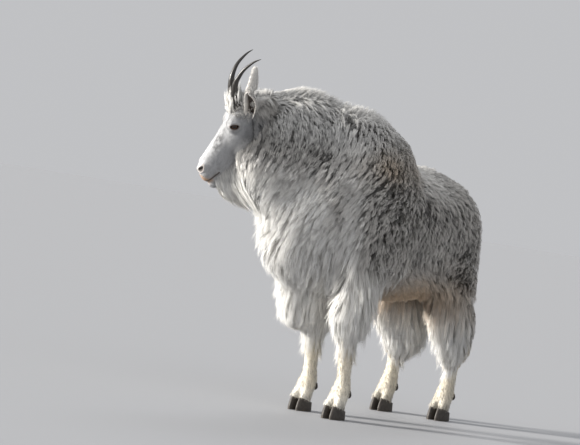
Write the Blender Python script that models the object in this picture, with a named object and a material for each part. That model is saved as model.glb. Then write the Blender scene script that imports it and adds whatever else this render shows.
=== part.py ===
"""A still mountain goat, life size, standing on four hooves: the outer form of its coat, parted into named solids.

Metres. The goat faces -Y, its left side is +X, up is +Z, and the hooves stand on Z = 0.
The coat is one distance field: limbs lofted along smooth lines and ellipsoids, blended together. It is turned into a
mesh, thinned, and parted by thin cuts. Ears, eyes, horns, hooves and dewclaws are solids of their own.
"""

import bpy
import bmesh
import numpy as np
from mathutils import Matrix, Vector

for old in list(bpy.data.objects):
    bpy.data.objects.remove(old, do_unlink=True)

GAP = 0.00035
SHIFT = (0.0745, 0.0935, 0.0)

# ---------------------------------------------------------------- head frame
HO = np.array([-0.25188, -0.59105, 0.93548])
HS = np.array([-0.33025, -0.06899, -0.94137])
HW0 = np.array([0.70756, -0.67820, -0.19852])


def unit(v):
    v = np.asarray(v, float)
    return v / np.linalg.norm(v)


HS = unit(HS)
HW = unit(HW0 - HS * (HW0 @ HS))
HT = np.cross(HS, HW)
HAX = np.stack([HS, HT, HW], 1)


def H(s, t, w=0.0):
    """Head place: s down the bridge of the nose, t out of the forehead, w to the goat's left."""
    return HO + HS * s + HT * t + HW * w


def smin(a, b, k):
    h = np.maximum(k - np.abs(a - b), 0) / k
    return np.minimum(a, b) - h * h * k * 0.25


def smax(a, b, k):
    return -smin(-a, -b, k)


def spline(rows, n):
    r = np.asarray(rows, float)
    r = np.vstack([2 * r[0] - r[1], r, 2 * r[-1] - r[-2]])
    out = []
    for i in range(1, len(r) - 2):
        t = np.linspace(0, 1, 24, endpoint=False)[:, None]
        p0, p1, p2, p3 = r[i - 1], r[i], r[i + 1], r[i + 2]
        out.append(0.5 * ((2 * p1) + (-p0 + p2) * t + (2 * p0 - 5 * p1 + 4 * p2 - p3) * t * t + (-p0 + 3 * p1 - 3 * p2 + p3) * t ** 3))
    out.append(r[-2][None])
    q = np.vstack(out)
    s = np.concatenate([[0], np.cumsum(np.linalg.norm(np.diff(q[:, :3], axis=0), axis=1))])
    u = np.linspace(0, s[-1], n)
    return np.stack([np.interp(u, s, q[:, j]) for j in range(q.shape[1])], 1), s[-1]


class Tube:
    """A limb: rows of centre x, y, z, half width a, reach up b, reach down d, along a smooth line."""

    def __init__(self, rows, side, caps, n=40, peak=0.0):
        q, length = spline(rows, n)
        self.n, self.ds, self.caps, self.peak = n, length / (n - 1), caps, peak
        C = q[:, :3]
        T = np.gradient(C, axis=0)
        T /= np.linalg.norm(T, axis=1)[:, None]
        side = np.asarray(side, float)
        S = side[None] - T * (T @ side)[:, None]
        S /= np.linalg.norm(S, axis=1)[:, None]
        self.C, self.T, self.S, self.U = C, T, S, np.cross(S, T)
        self.tab = np.hstack([C, T, S, self.U, q[:, 3:6]]).astype(np.float32)

    def local(self, P):
        C = self.tab[:, :3]
        i = ((C * C).sum(1)[None] - 2 * (P @ C.T)).argmin(1)
        f = i + ((P - C[i]) * self.tab[i, 3:6]).sum(1) / self.ds
        fc = np.clip(f, 0, self.n - 1.0001)
        j = fc.astype(int)
        w = (fc - j)[:, None].astype(np.float32)
        q = self.tab[j] * (1 - w) + self.tab[j + 1] * w
        over = np.where(np.abs(f - fc) < 1e-3, 0, (f - fc) * self.ds)
        d = P - q[:, :3] - q[:, 3:6] * over[:, None]
        return q, over, (d * q[:, 6:9]).sum(1), (d * q[:, 9:12]).sum(1), fc / (self.n - 1)

    def __call__(self, P):
        q, over, s, u, _ = self.local(P)
        a = q[:, 12]
        b = np.where(u > 0, q[:, 13], q[:, 14])
        if self.peak:
            a = a * (1 - self.peak * np.clip(u / b, 0, 1) ** 2)
        c = np.where(over < 0, self.caps[0], self.caps[1])
        r = np.sqrt((s / a) ** 2 + (u / b) ** 2 + (over / c) ** 2)
        ln = np.sqrt(s * s + u * u + over * over)
        return np.where(r < 0.05, -np.minimum(a, b), ln * (r - 1) / np.maximum(r, 1e-4)).astype(np.float32)


class Ball:
    """An ellipsoid; axes are the columns of R."""

    def __init__(self, c, r, R=None):
        self.c, self.r = np.asarray(c, np.float32), np.asarray(r, np.float32)
        self.R = None if R is None else np.asarray(R, np.float32)

    def __call__(self, P):
        d = P - self.c
        if self.R is not None:
            d = d @ self.R
        k0 = np.sqrt(((d / self.r) ** 2).sum(1))
        k1 = np.sqrt(((d / self.r ** 2) ** 2).sum(1))
        return (k0 * (k0 - 1) / np.maximum(k1, 1e-6)).astype(np.float32)


def rows(*r):
    """left, forward, up, half width, reach up, reach down"""
    return [(l, -f, z, a, b, d) for l, f, z, a, b, d in r]


def hrows(*r):
    return [tuple(H(s, t, w)) + (a, b, d) for s, t, w, a, b, d in r]


X = (1, 0, 0)
trunk = Tube(rows(
    (0, .36, .65, .09, .13, .13), (0, .30, .655, .135, .24, .205), (0, .24, .66, .158, .30, .245), (0, .18, .66, .170, .295, .265),
    (0, .13, .66, .176, .258, .275), (0, .08, .66, .181, .202, .278), (0, .03, .66, .183, .175, .282), (0, -.05, .66, .184, .155, .288), (0, -.13, .66, .182, .148, .284),
    (0, -.20, .66, .176, .144, .270), (0, -.27, .66, .158, .122, .235), (0, -.33, .65, .130, .092, .20), (0, -.38, .64, .102, .072, .165)), X, (.05, .060), 60, .25)
neck = Tube(rows(
    (0, .12, .72, .12, .20, .19), (-.02, .19, .73, .146, .22, .225), (-.065, .28, .752, .142, .225, .236), (-.12, .37, .785, .124, .234, .215),
    (-.17, .44, .82, .104, .206, .178), (-.205, .50, .858, .078, .136, .118)), (-1, 0, 0), (.05, .045), 50, .15)
chest = Ball((-.09, -.345, .55), (.125, .135, .15))
brisket = Ball((-.04, -.285, .49), (.11, .11, .10))
skull = Tube(hrows(
    (-.058, -.118, 0, .042, .034, .04), (-.036, -.100, 0, .052, .045, .06), (-.010, -.080, 0, .057, .053, .075), (.02, -.069, 0, .057, .059, .080), (.058, -.068, 0, .052, .053, .080),
    (.10, -.062, 0, .045, .048, .084), (.15, -.054, 0, .037, .046, .070), (.185, -.050, 0, .033, .047, .058), (.205, -.047, 0, .031, .045, .046)),
    -HW, (.03, .024), 44)
poll = Ball(H(-.008, -.038), (.030, .028, .034), HAX)
cheeks = [Ball(H(.082, -.098, k * .029), (.052, .050, .028), HAX) for k in (1, -1)]
brows = [Ball(H(.050, -.037, k * .041), (.026, .016, .015), HAX) for k in (1, -1)]
nose = Ball(H(.2135, -.0355), (.0385, .034, .030), HAX)
lip = Ball(H(.2335, -.0425), (.0285, .0235, .025), HAX)
chin = Ball(H(.250, -.073), (.0235, .019, .019), HAX)
beard = Tube(hrows((.252, -.092, 0, .014, .020, .022), (.242, -.122, 0, .024, .050, .044), (.228, -.150, 0, .032, .070, .056),
                   (.212, -.180, 0, .038, .080, .062), (.19, -.205, 0, .045, .08, .060)), HW, (.014, .025), 30)


def front_leg(x, f, l):
    hair = Tube(rows((x * .075, .12, .80, .06, .10, .10), (x * .090, .20, .70, .076, .13, .12), (x * .096, .225, .60, .076, .12, .12),
                     (x * (l + .008), f - .03, .50, .066, .098, .10), (x * (l + .004), f - .005, .40, .062, .086, .084),
                     (x * l, f, .32, .060, .078, .080), (x * l, f, .275, .044, .052, .056)), (-1, 0, 0), (.08, .03))
    bone = Tube(rows((x * l, f, .33, .030, .034, .034), (x * l, f + .004, .265, .029, .033, .030), (x * l, f, .22, .022, .025, .025),
                     (x * l, f - .004, .14, .020, .021, .023), (x * l, f - .004, .10, .024, .025, .030), (x * l, f + .010, .072, .022, .022, .026)),
                (-1, 0, 0), (.02, .018))
    return hair, bone, toes(x * l, f)


def hind_leg(x, f, l):
    hair = Tube(rows((x * .06, -.22, .685, .076, .09, .10), (x * .080, -.25, .605, .086, .13, .130), (x * .093, -.255, .52, .080, .125, .132),
                     (x * (l + .004), -.27, .43, .070, .105, .113), (x * (l + .003), f + .02, .35, .056, .085, .085),
                     (x * l, f - .025, .28, .046, .06, .065), (x * l, f - .035, .24, .034, .04, .05)), (-1, 0, 0), (.05, .03))
    bone = Tube(rows((x * l, f - .005, .36, .030, .036, .04), (x * l, f - .035, .285, .026, .030, .036), (x * l, f - .035, .24, .022, .024, .028),
                     (x * l, f - .022, .15, .020, .021, .024), (x * l, f - .012, .10, .024, .025, .030), (x * l, f + .0, .072, .022, .022, .026)),
                (-1, 0, 0), (.02, .018))
    return hair, bone, toes(x * l, f - .010)


def toes(x, f):
    return [Tube(rows((x + k * .006, f - .002, .092, .018, .018, .020), (x + k * .013, f + .012, .062, .0165, .019, .021),
                      (x + k * .0175, f + .026, .036, .0150, .023, .025)), X, (.01, .010), 16) for k in (1, -1)]


FEET = {"fl": (1, .262, .092), "fr": (-1, .190, .085), "hl": (1, -.335, .095), "hr": (-1, -.290, .098)}
legs = {k: (front_leg if k[0] == "f" else hind_leg)(*v) for k, v in FEET.items()}
fluff = [Tube(rows((-.10, .20, .50, .07, .09, .07), (-.108, .225, .43, .076, .105, .08), (-.108, .228, .36, .078, .112, .09), (-.10, .215, .305, .070, .10, .085)), (-1, 0, 0), (.04, .030)),
         Tube(rows((-.085, -.27, .46, .070, .10, .11), (-.082, -.295, .38, .072, .098, .135), (-.082, -.32, .30, .070, .090, .125), (-.084, -.335, .235, .058, .070, .090)), (-1, 0, 0), (.04, .05)),
         Tube(rows((.10, -.27, .46, .06, .10, .09), (.100, -.30, .38, .060, .11, .085), (.098, -.335, .30, .055, .095, .075), (.096, -.355, .235, .045, .07, .055)), (-1, 0, 0), (.04, .05))]
tail = Tube(rows((0, -.35, .70, .05, .05, .05), (0, -.400, .684, .039, .032, .032), (0, -.432, .650, .032, .023, .025), (0, -.445, .612, .025, .018, .021), (0, -.447, .590, .013, .011, .012)), X, (.04, .02), 24)


def coat(P):
    d = smin(trunk(P), neck(P), .08)
    d = smin(d, chest(P), .08)
    d = smin(d, brisket(P), .06)
    h = smin(skull(P), poll(P), .03)
    for b in cheeks:
        h = smin(h, b(P), .025)
    for b in brows:
        h = smin(h, b(P), .02)
    h = smin(h, nose(P), .012)
    h = smin(h, lip(P), .010)
    h = smin(h, chin(P), .014)
    h = smin(h, beard(P), .025)
    d = smin(d, h, .045)
    for hair, bone, dig in legs.values():
        d = smin(d, hair(P), .05)
        e = smin(dig[0](P), dig[1](P), .006)
        e = smin(bone(P), e, .014)
        d = smin(d, e, .008)
    for b in fluff:
        d = smin(d, b(P), .03)
    d = smin(d, tail(P), .03)
    return d


# ---------------------------------------------------------------- the field turned into a mesh
def surface(fun, xs, ys, zs, band, chunk=300000):
    """One vertex for each grid cell that the surface crosses, one quad for each grid edge that it crosses."""
    nx, ny, nz = len(xs), len(ys), len(zs)
    G = np.meshgrid(*(np.asarray(a, np.float32) for a in (xs, ys, zs)), indexing="ij")
    P = np.stack([g.ravel() for g in G], 1)
    step = 4
    I = [np.unique(np.r_[np.arange(0, n, step), n - 1]) for n in (nx, ny, nz)]
    pick = np.ix_(*I)
    Pc = np.stack([g[pick].ravel() for g in G], 1)
    Vc = np.concatenate([fun(Pc[i:i + chunk]) for i in range(0, len(Pc), chunk)]).reshape([len(i) for i in I])
    lo = Vc[:-1, :-1, :-1].copy()
    hi, near0 = lo.copy(), np.abs(lo)
    for dx in (0, 1):
        for dy in (0, 1):
            for dz in (0, 1):
                c = Vc[dx:dx + lo.shape[0], dy:dy + lo.shape[1], dz:dz + lo.shape[2]]
                lo, hi, near0 = np.minimum(lo, c), np.maximum(hi, c), np.minimum(near0, np.abs(c))
    near = (lo * hi <= 0) | (near0 < band)
    cell = np.ix_(*[np.minimum(np.searchsorted(i, np.arange(n), side="right") - 1, len(i) - 2) for i, n in zip(I, (nx, ny, nz))])
    V = np.where(lo < 0, -1.0, 1.0).astype(np.float32)[cell].copy()
    nf = near[cell]
    m = nf.copy()
    m[1:] |= nf[:-1]
    m[:, 1:] |= nf[:, :-1]
    m[:, :, 1:] |= nf[:, :, :-1]
    idx = np.flatnonzero(m.ravel())
    flat = V.ravel()
    for i in range(0, len(idx), chunk):
        k = idx[i:i + chunk]
        flat[k] = fun(P[k])
    V = flat.reshape(nx, ny, nz)
    ins = V < 0
    c = np.zeros((nx - 1, ny - 1, nz - 1), np.int8)
    corners = [(a, b, d) for a in (0, 1) for b in (0, 1) for d in (0, 1)]
    for a, b, d in corners:
        c += ins[a:a + nx - 1, b:b + ny - 1, d:d + nz - 1]
    act = (c > 0) & (c < 8)
    ids = np.full(act.shape, -1, np.int64)
    ai = np.argwhere(act)
    ids[act] = np.arange(len(ai))
    co = [np.asarray(a, float) for a in (xs, ys, zs)]
    val = {k: V[ai[:, 0] + k[0], ai[:, 1] + k[1], ai[:, 2] + k[2]] for k in corners}
    pos = {k: np.stack([co[j][ai[:, j] + k[j]] for j in range(3)], 1) for k in corners}
    acc, cnt = np.zeros((len(ai), 3)), np.zeros(len(ai))
    for k in corners:
        for j in range(3):
            if k[j]:
                continue
            n = tuple(1 if i == j else k[i] for i in range(3))
            cross = (val[k] < 0) != (val[n] < 0)
            t = np.clip(np.where(cross, val[k] / np.where(cross, val[k] - val[n], 1), 0), 0, 1)[:, None]
            acc += np.where(cross[:, None], pos[k] + (pos[n] - pos[k]) * t, 0)
            cnt += cross
    quads = []
    for j in range(3):
        a = [slice(1, -1)] * 3
        b = list(a)
        a[j], b[j] = slice(None, -1), slice(1, None)
        where = np.argwhere(ins[tuple(a)] != ins[tuple(b)])
        off = np.ones(3, int)
        off[j] = 0
        where = where + off
        u, v = [(1, 2), (2, 0), (0, 1)][j]
        def at(du, dv):
            w = where.copy()
            w[:, u] += du
            w[:, v] += dv
            return ids[w[:, 0], w[:, 1], w[:, 2]]
        q = np.stack([at(-1, -1), at(0, -1), at(0, 0), at(-1, 0)], 1)
        out = ~ins[where[:, 0], where[:, 1], where[:, 2]]
        q[out] = q[out][:, ::-1]
        quads.append(q)
    return acc / cnt[:, None], np.concatenate(quads)


def settle(fun, P, times=3):
    """Moves each point onto the surface."""
    h = 0.001
    for _ in range(times):
        g = np.stack([fun((P + e).astype(np.float32)) - fun((P - e).astype(np.float32)) for e in np.eye(3) * h], 1) / (2 * h)
        P = P - np.clip(fun(P.astype(np.float32)) / np.maximum((g * g).sum(1), 0.2), -0.003, 0.003)[:, None] * g
    return P


def mesh_object(name, verts, faces):
    me = bpy.data.meshes.new(name)
    me.from_pydata([tuple(map(float, v)) for v in verts], [], [tuple(map(int, f)) for f in faces])
    me.validate()
    me.update()
    ob = bpy.data.objects.new(name, me)
    bpy.context.scene.collection.objects.link(ob)
    return ob


def applied(ob):
    graph = bpy.context.evaluated_depsgraph_get()
    graph.update()
    me = bpy.data.meshes.new_from_object(ob.evaluated_get(graph))
    ob.modifiers.clear()
    ob.data = me
    return ob


def boolean(ob, other, operation, solver="EXACT"):
    m = ob.modifiers.new("b", "BOOLEAN")
    m.operation, m.solver, m.object = operation, solver, other
    return applied(ob)


def copy(ob, name):
    new = bpy.data.objects.new(name, ob.data.copy())
    bpy.context.scene.collection.objects.link(new)
    return new


def drop(*obs):
    for ob in obs:
        bpy.data.objects.remove(ob, do_unlink=True)


def grown(ob, by, name="cutter"):
    """A copy whose faces are pushed out, so that a piece cut by it keeps a gap."""
    new = copy(ob, name)
    bm = bmesh.new()
    bm.from_mesh(new.data)
    bm.normal_update()
    n = [v.normal.copy() for v in bm.verts]
    for v, k in zip(bm.verts, n):
        v.co += k * by
    bm.to_mesh(new.data)
    bm.free()
    return new


def slab(origin, normal, name="cutter", grow=0.0, size=2.0, lims=()):
    """The space on the normal's side of a plane, cut down by further planes given as (origin, normal)."""
    bm = bmesh.new()
    bmesh.ops.create_cube(bm, size=2 * size)
    for o, n in ((origin, normal),) + tuple(lims):
        n = Vector(n).normalized()
        o = Vector(o) - n * grow
        geom = bm.verts[:] + bm.edges[:] + bm.faces[:]
        cut = bmesh.ops.bisect_plane(bm, geom=geom, plane_co=o, plane_no=n, clear_inner=True)
        edges = [e for e in cut["geom_cut"] if isinstance(e, bmesh.types.BMEdge)]
        bmesh.ops.contextual_create(bm, geom=edges)
    bmesh.ops.recalc_face_normals(bm, faces=bm.faces[:])
    me = bpy.data.meshes.new(name)
    bm.to_mesh(me)
    bm.free()
    ob = bpy.data.objects.new(name, me)
    bpy.context.scene.collection.objects.link(ob)
    return ob


def largest(ob):
    """Keeps the largest loose piece."""
    bm = bmesh.new()
    bm.from_mesh(ob.data)
    seen, groups = set(), []
    for v in bm.verts:
        if v in seen:
            continue
        stack, group = [v], []
        seen.add(v)
        while stack:
            w = stack.pop()
            group.append(w)
            for e in w.link_edges:
                o = e.other_vert(w)
                if o not in seen:
                    seen.add(o)
                    stack.append(o)
        groups.append(group)
    groups.sort(key=len)
    for g in groups[:-1]:
        bmesh.ops.delete(bm, geom=g, context="VERTS")
    bm.to_mesh(ob.data)
    bm.free()
    return ob


def ring_solid(name, rings):
    """A closed solid from equal rings of points, with a fan over each end."""
    k, n = len(rings), len(rings[0])
    V = [p for r in rings for p in r]
    a, b = len(V), len(V) + 1
    V += [np.mean(rings[0], 0), np.mean(rings[-1], 0)]
    F = []
    for i in range(k - 1):
        for j in range(n):
            j2 = (j + 1) % n
            F.append((i * n + j, i * n + j2, (i + 1) * n + j2, (i + 1) * n + j))
    for j in range(n):
        j2 = (j + 1) % n
        F.append((a, j2, j))
        F.append((b, (k - 1) * n + j, (k - 1) * n + j2))
    ob = mesh_object(name, V, F)
    bm = bmesh.new()
    bm.from_mesh(ob.data)
    bmesh.ops.recalc_face_normals(bm, faces=bm.faces[:])
    bm.to_mesh(ob.data)
    bm.free()
    return ob


# ---------------------------------------------------------------- the coat
def axis(lo, hi, coarse, fine, a, b):
    x = [lo]
    while x[-1] < hi:
        x.append(x[-1] + (fine if a < x[-1] < b else coarse))
    return np.array(x)


xs = axis(-.38, .24, .011, .0065, -.36, -.10)
ys = axis(-.68, .54, .011, .0065, -.66, -.44)
zs = axis(.005, 1.06, .011, .0075, .66, .98)
V, Q = surface(coat, xs, ys, zs, .05)
V = settle(coat, V)
body = mesh_object("body", V, Q)
m = body.modifiers.new("d", "DECIMATE")
m.ratio = .0843
applied(body)
largest(body)

# ---------------------------------------------------------------- horns, ears, eyes, tail
def frame_at(C):
    T = np.gradient(C, axis=0)
    return T / np.linalg.norm(T, axis=1)[:, None]


HORN = [(.024, -.040, .022, .0145), (-.006, -.021, .0235, .0143), (-.034, .000, .026, .0118), (-.062, .0125, .030, .0088), (-.088, .0155, .036, .0067),
        (-.112, .013, .043, .0052), (-.134, .005, .050, .0040), (-.151, -.004, .057, .0027), (-.166, -.0165, .0655, .0009)]


NEAR = [0, 0, -.0015, -.0035, -.0060, -.0065, -.0065, -.0060, -.0050]


def horn(name, side, grow=0.0):
    q, _ = spline([tuple(H(s, t + (k if side > 0 else 0), side * w)) + (r, 0, 0) for (s, t, w, r), k in zip(HORN, NEAR)], 15)
    C, r = q[:, :3], q[:, 3] + grow
    T = frame_at(C)
    S = HW[None] - T * (T @ HW)[:, None]
    S /= np.linalg.norm(S, axis=1)[:, None]
    U = np.cross(S, T)
    th = np.linspace(0, 2 * np.pi, 10, endpoint=False)
    return ring_solid(name, [[c + s * np.cos(a) * k * .90 + u * np.sin(a) * k for a in th] for c, s, u, k in zip(C, S, U, r)])


EAR = {1: ((-.003, -.0755, .044), (-.0700, -.0220, .108)), -1: ((-.003, -.0755, -.044), (-.114, -.064, -.106))}


def ear(name, side):
    a, b = (H(*p) for p in EAR[side])
    L = unit(b - a)
    face = HS * .12 + HT * .71 + HW * .65 * side
    face = unit(face - L * (face @ L))
    wide = np.cross(L, face)
    length = np.linalg.norm(b - a)
    rings = []
    for u, half in ((0, .016), (.10, .020), (.25, .0245), (.42, .027), (.60, .0255), (.77, .020), (.90, .0125), (.985, .004)):
        mid = a + L * length * u - face * .012 * np.sin(np.pi * u) + face * .004
        cup, th = .016 * (1 - .55 * u), .0050 * (1 - .45 * u)
        v = np.linspace(-1, 1, 7)
        front = [mid + wide * half * x + face * (cup * x * x) for x in v]
        back = [mid + wide * (half + .0005) * x + face * (cup * x * x - th * (1 + .35 * (1 - x * x))) for x in v[::-1]]
        rings.append(front + back)
    return ring_solid(name, rings)


def ball(name, centre, r, sub=2):
    bm = bmesh.new()
    bmesh.ops.create_icosphere(bm, subdivisions=sub, radius=1.0)
    for v in bm.verts:
        v.co = Vector(tuple(np.asarray(centre) + np.array(v.co) * r))
    me = bpy.data.meshes.new(name)
    bm.to_mesh(me)
    bm.free()
    ob = bpy.data.objects.new(name, me)
    bpy.context.scene.collection.objects.link(ob)
    return ob


EYE = [(.060, -.0425, k * .0415) for k in (1, -1)]
EYE_R = .0158

# ---------------------------------------------------------------- hooves and dewclaws
OUTLINE = [(.000, .0035), (.022, .0035), (.046, .0045), (.064, .011), (.060, .0215), (.046, .029), (.026, .0325), (.006, .031), (-.006, .022), (-.006, .0105)]


def coronet(u):
    return .028 + .016 * u / .06


def hoof(name, x, f, side):
    """One toe: flat sole on the floor, sloped front wall, slanted top."""
    o = np.array(OUTLINE)
    c = np.array([.028, .017])
    rings = []
    for k, sc, back in ((0, .965, .0), (.22, 1.0, .0), (.62, .93, -.002), (1.0, .84, -.005)):
        r = []
        for u, v in o:
            uu, vv = c[0] + (u - c[0]) * sc + back, c[1] + (v - c[1]) * sc
            r.append((x + side * vv, -(f + uu), k * (coronet(uu) - GAP)))
        rings.append(r)
    return ring_solid(name, rings)


FOOT = {k: (v[0] * v[2], (v[1] - .002 if k[0] == "f" else v[1] - .012)) for k, v in FEET.items()}
hooves, dews = {}, {}
for k, (x, f) in FOOT.items():
    out = 1 if x > 0 else -1
    for side, nm in ((out, "outer"), (-out, "inner")):
        hooves[k, nm] = hoof(f"hoof_{k}_{nm}", x, f, side)
        d = ball(f"dewclaw_{k}_{nm}", (0, 0, 0), 1.0, 1)
        for v in d.data.vertices:
            n = unit(v.co)
            v.co = Vector((x + side * .015 + n[0] * .0075, -(f - .023) + n[1] * .0085 + (n[2] < 0) * .002, .080 + n[2] * .013))
        dews[k, nm] = d

# ---------------------------------------------------------------- parting the coat
HEAD_CUT = ((-.1814, -.4832, .818), (-.70, -.713, -.057), [((0, 0, .60), (0, 0, 1))])
NECK_CUT = ((-.04, -.27, .72), (-.3, -.88, .37))
TAIL_CUT = ((0, .400, .66), (0, .93, .36))
LEG_CUTS = {}
for k, (x, f) in FOOT.items():
    s = 1 if x > 0 else -1
    front = k[0] == "f"
    top = (s * .09, -.21 if front else .28, .475 if front else .47)
    lims = [((s * .008, 0, 0), (s, 0, 0))]
    lims.append(((0, -.125 if s > 0 else -.085, 0), (0, -1, 0)) if front else ((0, .10, 0), (0, 1, 0)))
    if k == "fr":
        lims.append(((0, -.345, 0), (0, 1, 0)))
    LEG_CUTS[k] = (top, (s * .50, 0, -.87), lims)
TAIL_LIMS = [((.05, 0, 0), (-1, 0, 0)), ((-.05, 0, 0), (1, 0, 0)), ((0, 0, .56), (0, 0, 1))]


def keep(ob, cut, lims=(), grow=0.0):
    w = slab(*cut, grow=grow, lims=lims)
    boolean(ob, w, "INTERSECT")
    drop(w)
    return largest(ob)


def cut_off(ob, cut, lims=(), grow=GAP):
    w = slab(*cut, grow=grow, lims=lims)
    boolean(ob, w, "DIFFERENCE")
    drop(w)
    return largest(ob)


head = keep(copy(body, "head"), HEAD_CUT[:2], HEAD_CUT[2])
neck = keep(copy(body, "neck"), NECK_CUT)
cut_off(neck, HEAD_CUT[:2], HEAD_CUT[2])
tail_ob = keep(copy(body, "tail"), TAIL_CUT, TAIL_LIMS)
trunk_ob = copy(body, "trunk")
cut_off(trunk_ob, NECK_CUT)
cut_off(trunk_ob, TAIL_CUT, TAIL_LIMS)
legs_ob = {}
for k, (top, n, lims) in LEG_CUTS.items():
    leg = keep(copy(body, f"leg_{k}"), (top, n), lims)
    if k[0] == "f":
        cut_off(leg, NECK_CUT)
    x, f = FOOT[k]
    # the foot ends at the slanted top of the hooves
    u = np.array([0, -.06, .016])
    cut_off(leg, ((x, -f, .028), (0, -.016, -.06)), [((0, -(f - .07), 0), (0, -1, 0))])
    legs_ob[k] = leg
    cut_off(trunk_ob, (top, n), lims)
    cut_off(neck, (top, n), lims) if k[0] == "f" else None
    for nm in ("outer", "inner"):
        c = grown(dews[k, nm], GAP)
        boolean(leg, c, "DIFFERENCE")
        drop(c)
drop(body)

for side, nm in ((1, "l"), (-1, "r")):
    e = ear(f"ear_{nm}", side)
    hn = horn(f"horn_{nm}", side)
    c = grown(head, GAP * 1.6)
    for ob in (e, hn):
        boolean(ob, c, "DIFFERENCE", "MANIFOLD")
        largest(ob)
    c2 = grown(neck, GAP * 1.6)
    boolean(e, c2, "DIFFERENCE", "MANIFOLD")
    largest(e)
    drop(c, c2)
for side, nm in ((1, "l"), (-1, "r")):
    ey = ball(f"eye_{nm}", H(*EYE[0 if side > 0 else 1]), EYE_R, 2)
    c = ball("cutter", H(*EYE[0 if side > 0 else 1]), EYE_R + GAP, 2)
    boolean(head, c, "DIFFERENCE")
    drop(c)


# the box of the whole goat is centred on the origin
for ob in bpy.data.objects:
    ob.data.transform(Matrix.Translation(SHIFT))

# ---------------------------------------------------------------- looks of the solids
def material(name, colour, rough):
    m = bpy.data.materials.new(name)
    m.use_nodes = True
    b = m.node_tree.nodes["Principled BSDF"]
    b.inputs["Base Color"].default_value = (*colour, 1)
    b.inputs["Roughness"].default_value = rough
    return m


wool = material("wool", (.78, .76, .71), .9)
horny = material("horn", (.045, .042, .04), .45)
glass = material("eye", (.03, .018, .01), .1)
for ob in bpy.data.objects:
    nm = ob.name
    mat = horny if nm.startswith(("horn", "hoof", "dewclaw")) else glass if nm.startswith("eye") else wool
    ob.data.materials.clear()
    ob.data.materials.append(mat)
    ob.data.polygons.foreach_set("use_smooth", [False] * len(ob.data.polygons))
    ob.data.update()
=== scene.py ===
"""The looks of a still, life-size mountain goat, standing on four hooves with its head turned to its right.

Metres. In the modelling frame the goat faces -Y, its left side is +X, up is +Z and the hooves stand on Z = 0; every
piece is moved by SHIFT at the end, so that the goat's box is centred on the origin.
The coat's outline is a distance field: limbs lofted along smooth lines, blended together. The skin is a second field of
the same limbs, thinner by the depth of the coat, with the face worked in. Locks of hair grow from the skin along a flow
field, up to the coat's outline. Each hair piece is one joined mesh of thin tapering blades.
"""

import math

import bpy
import numpy as np
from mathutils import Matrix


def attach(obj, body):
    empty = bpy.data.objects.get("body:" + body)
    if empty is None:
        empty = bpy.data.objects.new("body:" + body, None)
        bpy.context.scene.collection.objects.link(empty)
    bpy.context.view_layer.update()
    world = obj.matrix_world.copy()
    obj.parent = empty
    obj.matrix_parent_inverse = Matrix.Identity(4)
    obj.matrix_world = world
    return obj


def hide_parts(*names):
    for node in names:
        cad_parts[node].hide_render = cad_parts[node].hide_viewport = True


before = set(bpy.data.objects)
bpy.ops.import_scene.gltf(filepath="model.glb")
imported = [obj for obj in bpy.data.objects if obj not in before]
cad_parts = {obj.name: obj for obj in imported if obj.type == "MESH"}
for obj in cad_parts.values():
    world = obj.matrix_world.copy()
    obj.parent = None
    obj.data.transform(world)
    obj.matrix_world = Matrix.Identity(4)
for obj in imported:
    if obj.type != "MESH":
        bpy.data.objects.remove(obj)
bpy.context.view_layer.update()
SHIFT = np.array([0.0745, 0.0935, 0.0])
rng = np.random.default_rng(7)

# ---------------------------------------------------------------- camera
AZ, EL, ROLL = math.radians(33.0), math.radians(2.0), math.radians(8.0)
back = np.array([math.sin(AZ) * math.cos(EL), -math.cos(AZ) * math.cos(EL), math.sin(EL)])
right0 = np.array([math.cos(AZ), math.sin(AZ), 0.0])
up0 = np.cross(back, right0)
right = math.cos(ROLL) * right0 + math.sin(ROLL) * up0
up = -math.sin(ROLL) * right0 + math.cos(ROLL) * up0
from mathutils import Matrix

cam_data = bpy.data.cameras.new("camera")
cam_data.sensor_width = 36.0
cam_data.lens = 3780.0 / 580.0 * 36.0
cam_data.shift_x = -(385.0 - 290.0) / 580.0
cam_data.shift_y = (228.0 - 222.5) / 580.0
cam = bpy.data.objects.new("camera", cam_data)
at = np.array([0, 0, .6]) + SHIFT + back * 12.0
cam.matrix_world = Matrix(((right[0], up[0], back[0], at[0]), (right[1], up[1], back[1], at[1]), (right[2], up[2], back[2], at[2]), (0, 0, 0, 1)))
bpy.context.scene.collection.objects.link(cam)
bpy.context.scene.camera = cam

# ---------------------------------------------------------------- head frame
HO = np.array([-0.25188, -0.59105, 0.93548])
HS = np.array([-0.33025, -0.06899, -0.94137])
HW0 = np.array([0.70756, -0.67820, -0.19852])


def unit(v):
    v = np.asarray(v, float)
    return v / np.linalg.norm(v)


HS = unit(HS)
HW = unit(HW0 - HS * (HW0 @ HS))
HT = np.cross(HS, HW)
HAX = np.stack([HS, HT, HW], 1)


def H(s, t, w=0.0):
    """Head place: s down the bridge of the nose, t out of the forehead, w to the goat's left."""
    return HO + HS * s + HT * t + HW * w


def smin(a, b, k):
    h = np.maximum(k - np.abs(a - b), 0) / k
    return np.minimum(a, b) - h * h * k * 0.25


def smax(a, b, k):
    return -smin(-a, -b, k)


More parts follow.
